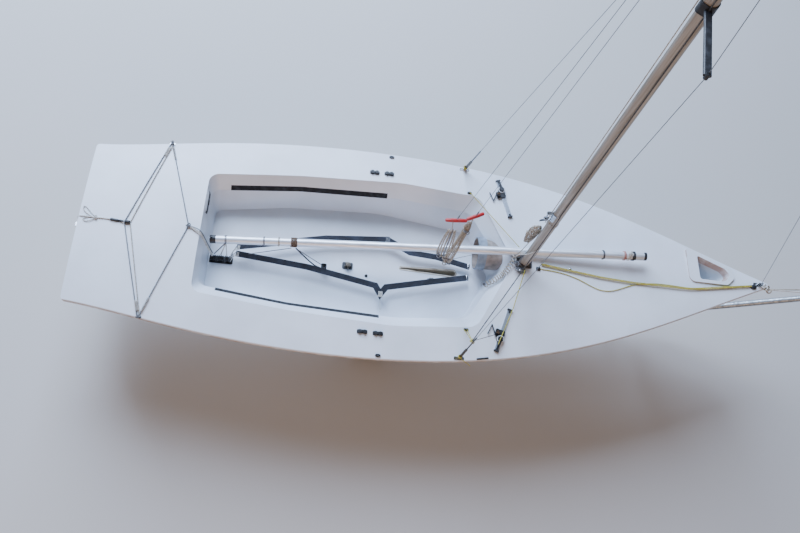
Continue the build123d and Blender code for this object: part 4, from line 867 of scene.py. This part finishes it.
# Trapeze: two moulded red plastic handles, crosswise on steel wires that lead up to the hounds. A second
# bunch of braided rope hangs from them, knotted at its foot, and a thin dark elastic keeps the hank down at
# the chute's collar.
handle_look, tree, shader, place = new_look("red_handle_plastic", Roughness=0.42)
chalk = weather(tree, shader, place, 14, 0.42, 0.70, "#C42A2E", "#A5474A")
relief(tree, shader, chalk, 0.1)
TRAPEZE = [                  # bar's ends, side of the hounds
    ((2.166, 0.019, 0.900), (2.293, 0.030, 0.900), 0.030),
    ((2.293, 0.039, 0.900), (2.393, 0.090, 0.900), 0.034),
]
HANDLE_RADIUS = 0.0105
HANDLE_SHAPE = [(0.7, 0.0), (1.0, 0.04), (1.15, 0.3), (1.15, 0.7), (1.0, 0.96), (0.7, 1.0)]
middles = []
for i, (left, right, out) in enumerate(TRAPEZE):
    left, right = route(left, right)
    long = (right - left).length
    profile = [(HANDLE_RADIUS * swell, long * share) for swell, share in HANDLE_SHAPE]
    handle = turned(f"trapeze_handle_{i}", profile, handle_look, "black_plastic", 16)
    seat(handle, left, right - left, (0.2, 0.3, 0.1))
    middle = (left + right) / 2
    top = boat(2.680, out, 4.855)
    line(f"trapeze_wire_{i}", [middle, top], 0.0028, wire_look)
    ferrule = [middle + (top - middle) * share for share in (0.006, 0.016)]
    winding(f"trapeze_ferrule_{i}", *ferrule, 5, 0.003, 0.0025, "grey")
    middles.append(middle)
line("trapeze_drop_0", [middles[0], *route((2.268, 0.040, 0.860), (2.330, 0.066, 0.815))], 0.0045, "beige")
line("trapeze_drop_1", [middles[1], boat(2.340, 0.080, 0.872)], 0.0045, "beige")
hank_tie = route((2.327, 0.058, 0.770), (2.323, 0.052, 0.745))
winding("trapeze_hank_tie", *hank_tie, 4, 0.020, 0.0045, "beige", 0.9)
knot("trapeze_hank_knot", boat(2.324, 0.030, 0.757), 0.040, TANGLED_CORD, "grey")
HANK_TANGLE = [(2.262, -0.012, 0.372, 0.052), (2.296, -0.012, 0.352, 0.046), (2.270, 0.006, 0.410, 0.044),
               (2.528, -0.128, 0.352, 0.030)]
knots("trapeze_tangle", [(boat(*place), size) for *place, size in HANK_TANGLE], TANGLED_CORD,
      ("pale", "grey"), (1.9, 2.3, 0.5))
line("trapeze_drop_2", route((2.212, 0.024, 0.894), (2.232, 0.020, 0.770)), TANGLED_CORD, "beige")
STRAND_CORDS = ("beige", "pale", "beige", "grey")
for i in range(6):
    high = boat(2.210 + 0.009 * i, 0.020 + 0.005 * (i % 2), 0.776 - 0.007 * (i % 3))
    low = boat(2.202 + 0.014 * i, 0.012 - 0.005 * i, 0.428 - 0.012 * (i % 2))
    bow = Vector(((i - 2.5) * 0.006, 0.007 * (i % 2), 0))
    line(f"trapeze_strand_{i}", [high, (high + low) / 2 + bow, low], 0.0095, STRAND_CORDS[i % 4])
BUNCH_FOOT = [(2.214, 0.008, 0.432, 0.050), (2.244, 0.000, 0.424, 0.056), (2.268, -0.008, 0.430, 0.044)]
knots("trapeze_bunch", [(boat(*place), size) for *place, size in BUNCH_FOOT], 0.006,
      ("grey", "pale"), (1.1, 2.6, 0.7))
line("trapeze_elastic", route((2.290, 0.000, 0.370), (2.484, 0.062, 0.388)), 0.003, "black")

# Foredeck and bow: a second yellow line, doubled, runs taut beside the slack one. Two braided ropes lash the
# stem to the trolley's handle, tied in thick knots over the bow fitting.
TAUT_FOREDECK = [(2.880, 0.002), (3.273, -0.051), (3.483, -0.067), (3.865, -0.074), (4.276, -0.016)]
taut = [part_way(here, there, share) for here, there in zip(TAUT_FOREDECK, TAUT_FOREDECK[1:])
        for share in (0.0, 0.25, 0.5, 0.75)]
taut.append(TAUT_FOREDECK[-1])
for strand in (-1, 1):
    beside = [on_deck(x, y + strand * 0.0035, 0.011) for x, y in taut]
    line(f"foredeck_taut_line_{strand}", beside, 0.006, "yellow")
STEM = (4.383, -0.031, 0.528)
HANDLE_MIDDLE = (4.955, 0.0, 0.532)
HALF_LASHING = Vector((0, 0.040, 0))
knot("bow_knot", boat(*STEM), 0.052, 0.009, "beige")
knot("bow_knot_white", boat(4.360, -0.018, 0.536), 0.040, 0.007, "white")
for i, (shift, cord_name) in enumerate([(0.022, "beige"), (-0.020, "white")]):
    on_handle = (HANDLE_MIDDLE[0] - 0.012, shift, HANDLE_MIDDLE[2] + 0.012)
    line(f"bow_lashing_{i}", route(STEM, on_handle), 0.008, cord_name)
winding("handle_turns", boat(*HANDLE_MIDDLE) - HALF_LASHING, boat(*HANDLE_MIDDLE) + HALF_LASHING, 8, 0.020,
        0.008, "beige")

# Trolley: welded and bolted steel tube, hot-dip galvanised, so its dull zinc skin has spangles about 12 mm
# across; ribbed rubber pads and chock, white moulded rims and black tyres.
SPANGLE_MM = 12
PAD_RIB_MM = 8
zinc_look, tree, shader, place = new_look("galvanised_tube", Metallic=0.8, Roughness=0.5)
spangle = node(tree, "TexVoronoi", {"Vector": place, "Scale": 1000 / SPANGLE_MM}).outputs["Color"]
colour_between(tree, shader, spangle, "#A7ADB0", "#80868A")
roughness_between(tree, shader, spangle, 0.38, 0.62)
ZINC = (zinc_look, "galvanised")
dress(zinc_look, "trolley_axle", "trolley_drawbar", "trolley_handle", "cradle_frame", "keel_chock_post",
      "prop_leg")
pad_look, tree, shader, place = new_look("ribbed_pad_rubber", Roughness=0.85)
ribs = node(tree, "TexWave", {"Vector": place, "Scale": WAVE_PER_MM / PAD_RIB_MM}, bands_direction="X")
colour_between(tree, shader, ribs.outputs["Fac"], "#1B1C1E", "#2C2D30")
relief(tree, shader, ribs.outputs["Fac"], 1.0)
dress(pad_look, "cradle_pads", "keel_chock")
rim_look, tree, shader, place = new_look("white_rim_polypropylene", Roughness=0.5)
grime = weather(tree, shader, place, 35, 0.42, 0.70, "#D8D8D2", "#A39C8E", 5.0)
relief(tree, shader, grime, 0.1)
dress(rim_look, "port_rim", "starboard_rim")
tyre_look, tree, shader, place = new_look("tyre_rubber", Roughness=0.88)
dust = weather(tree, shader, place, 28, 0.40, 0.72, "#17181A", "#4A453E", 6.0)
relief(tree, shader, dust, 0.4)
dress(tyre_look, "port_tyre", "starboard_tyre")

# Trolley hardware: zinc washers and steel split pins that keep the wheels on their stubs, hexagon bolt heads
# through the cradle, U-bolts that clamp the drawbar, tyre valves and moulded lugs on the tyres' shoulders.
AXLE_X = 1.870
AXLE_Z = -0.162
WHEEL_OUT = 0.465            # a wheel's middle, out from the centreline
STUB_END = 0.526
HUB_FACE = 0.520
WASHER_THICK = 0.0012
WASHER = [(0.018, 0), (0.018, WASHER_THICK), (0.0165, 0.0020)]
VALVE = [(0.0045, 0), (0.0045, 0.014), (0.0035, 0.016), (0.0035, 0.024)]
BOLT_HEAD = [(0.0095, 0), (0.0095, 0.006), (0.0075, 0.0075)]
CLAMP_BEND = [(-0.024, -0.030), (-0.024, 0.010), (-0.016, 0.026), (0.016, 0.026), (0.024, 0.010),
              (0.024, -0.030)]
CLAMP_Z = -0.122
LUG = (0.013, 0.026, 0.0032)
LUG_COUNT = 34               # on each shoulder of a tyre
SHOULDER = Vector((0, 0.0285, 0.1925))
MIRROR = Matrix.Scale(-1, 4, (0, 1, 0))


def twin(piece, name, move):
    """A copy with its own mesh, moved or mirrored."""
    other = piece.copy()
    other.data = piece.data.copy()
    other.name = other.data.name = name
    other.data.transform(move)
    if move.determinant() < 0:
        other.data.flip_normals()
    bpy.context.collection.objects.link(other)
    return other


for side, sign in SIDES:
    washer = turned(f"{side}_axle_washer", WASHER, *ZINC, 32)
    seat(washer, boat(AXLE_X, sign * (HUB_FACE + WASHER_THICK), AXLE_Z), (0, sign, 0))
    pin_hole = boat(AXLE_X, sign * (STUB_END - 0.0015), AXLE_Z)
    line(f"{side}_split_pin", [pin_hole + Vector((0, 0, up)) for up in (0.020, 0.0, -0.024)], 0.0028, *STEEL)
    valve = turned(f"{side}_tyre_valve", VALVE, *NYLON, 12, body=f"{side}_wheel")
    seat(valve, boat(AXLE_X + 0.078, sign * (WHEEL_OUT + 0.026), AXLE_Z + 0.020), (0.25, sign, 0.06))
    first_lug = slab(f"{side}_tread", LUG, tyre_look, "tyre", 0.001, 0.85, body=f"{side}_wheel")
    seat(first_lug, SHOULDER, (0, 14, 17), (0, -17, 14))
    lugs = [first_lug]
    for i in range(1, LUG_COUNT):
        lugs.append(twin(first_lug, f"lug_{i}", Matrix.Rotation(i * 2 * pi / LUG_COUNT, 4, "Y")))
    for lug in list(lugs):
        lugs.append(twin(lug, "lug", Matrix.Rotation(pi / LUG_COUNT, 4, "Y") @ MIRROR))
    tread = joined(f"{side}_tread", lugs)
    tread.data.transform(Matrix.Translation(boat(AXLE_X, sign * WHEEL_OUT, AXLE_Z)))
bolts = []
for sign in (1, -1):
    for dx in (-0.0215, 0.0215):
        for z in (-0.085, -0.125):
            bolt = turned(f"bolt_{sign}_{dx}_{z}", BOLT_HEAD, *ZINC, 6)
            bolts.append(seat(bolt, boat(AXLE_X + dx * 0.93, sign * 0.300, z), (dx, 0, 0), (0, 1, 0)))
joined("cradle_bolts", bolts)
for i, x in enumerate((2.060, 3.300)):
    line(f"drawbar_clamp_{i}", [boat(x, y, CLAMP_Z + z) for y, z in CLAMP_BEND], 0.007, *ZINC)

# Plain pale floor, a broad cool light from above as from an open sky, and a weaker warm one from the
# starboard side, behind the camera.
floor_look, tree, shader, place = new_look("pale_floor", Roughness=0.9)
tone = node(tree, "TexNoise", {"Vector": place, "Scale": 0.4, "Detail": 2.0})
colour_between(tree, shader, tone.outputs[0], "#C9C8C5", "#C2C1BE")
bpy.ops.mesh.primitive_plane_add(size=60)
floor = bpy.context.object
floor.name = "floor"
floor.data.materials.append(floor_look)
LIGHTS = [                   # name, place, aim, size, watts, colour
    ("sky", (-3.8, 7.5, 7.4), (-0.6, 0.0, 0.4), 8.0, 3700.0, "#CADEFF"),
    ("warm_side", (-1.0, -7.0, 4.0), (0.0, 0.2, 0.4), 6.0, 300.0, "#FFCFA8"),
]
for name, spot, aim, size, watts, tint in LIGHTS:
    bpy.ops.object.light_add(type="AREA", location=spot)
    light = bpy.context.object
    light.name = name
    light.rotation_euler = (Vector(aim) - Vector(spot)).to_track_quat("-Z", "Y").to_euler()
    light.data.size = size
    light.data.energy = watts
    light.data.color = linear(tint)[:3]
world = bpy.data.worlds.new("overcast")
world.use_nodes = True
world.node_tree.nodes["Background"].inputs["Color"].default_value = linear("#C4D0E2")
world.node_tree.nodes["Background"].inputs["Strength"].default_value = 0.22
bpy.context.scene.world = world
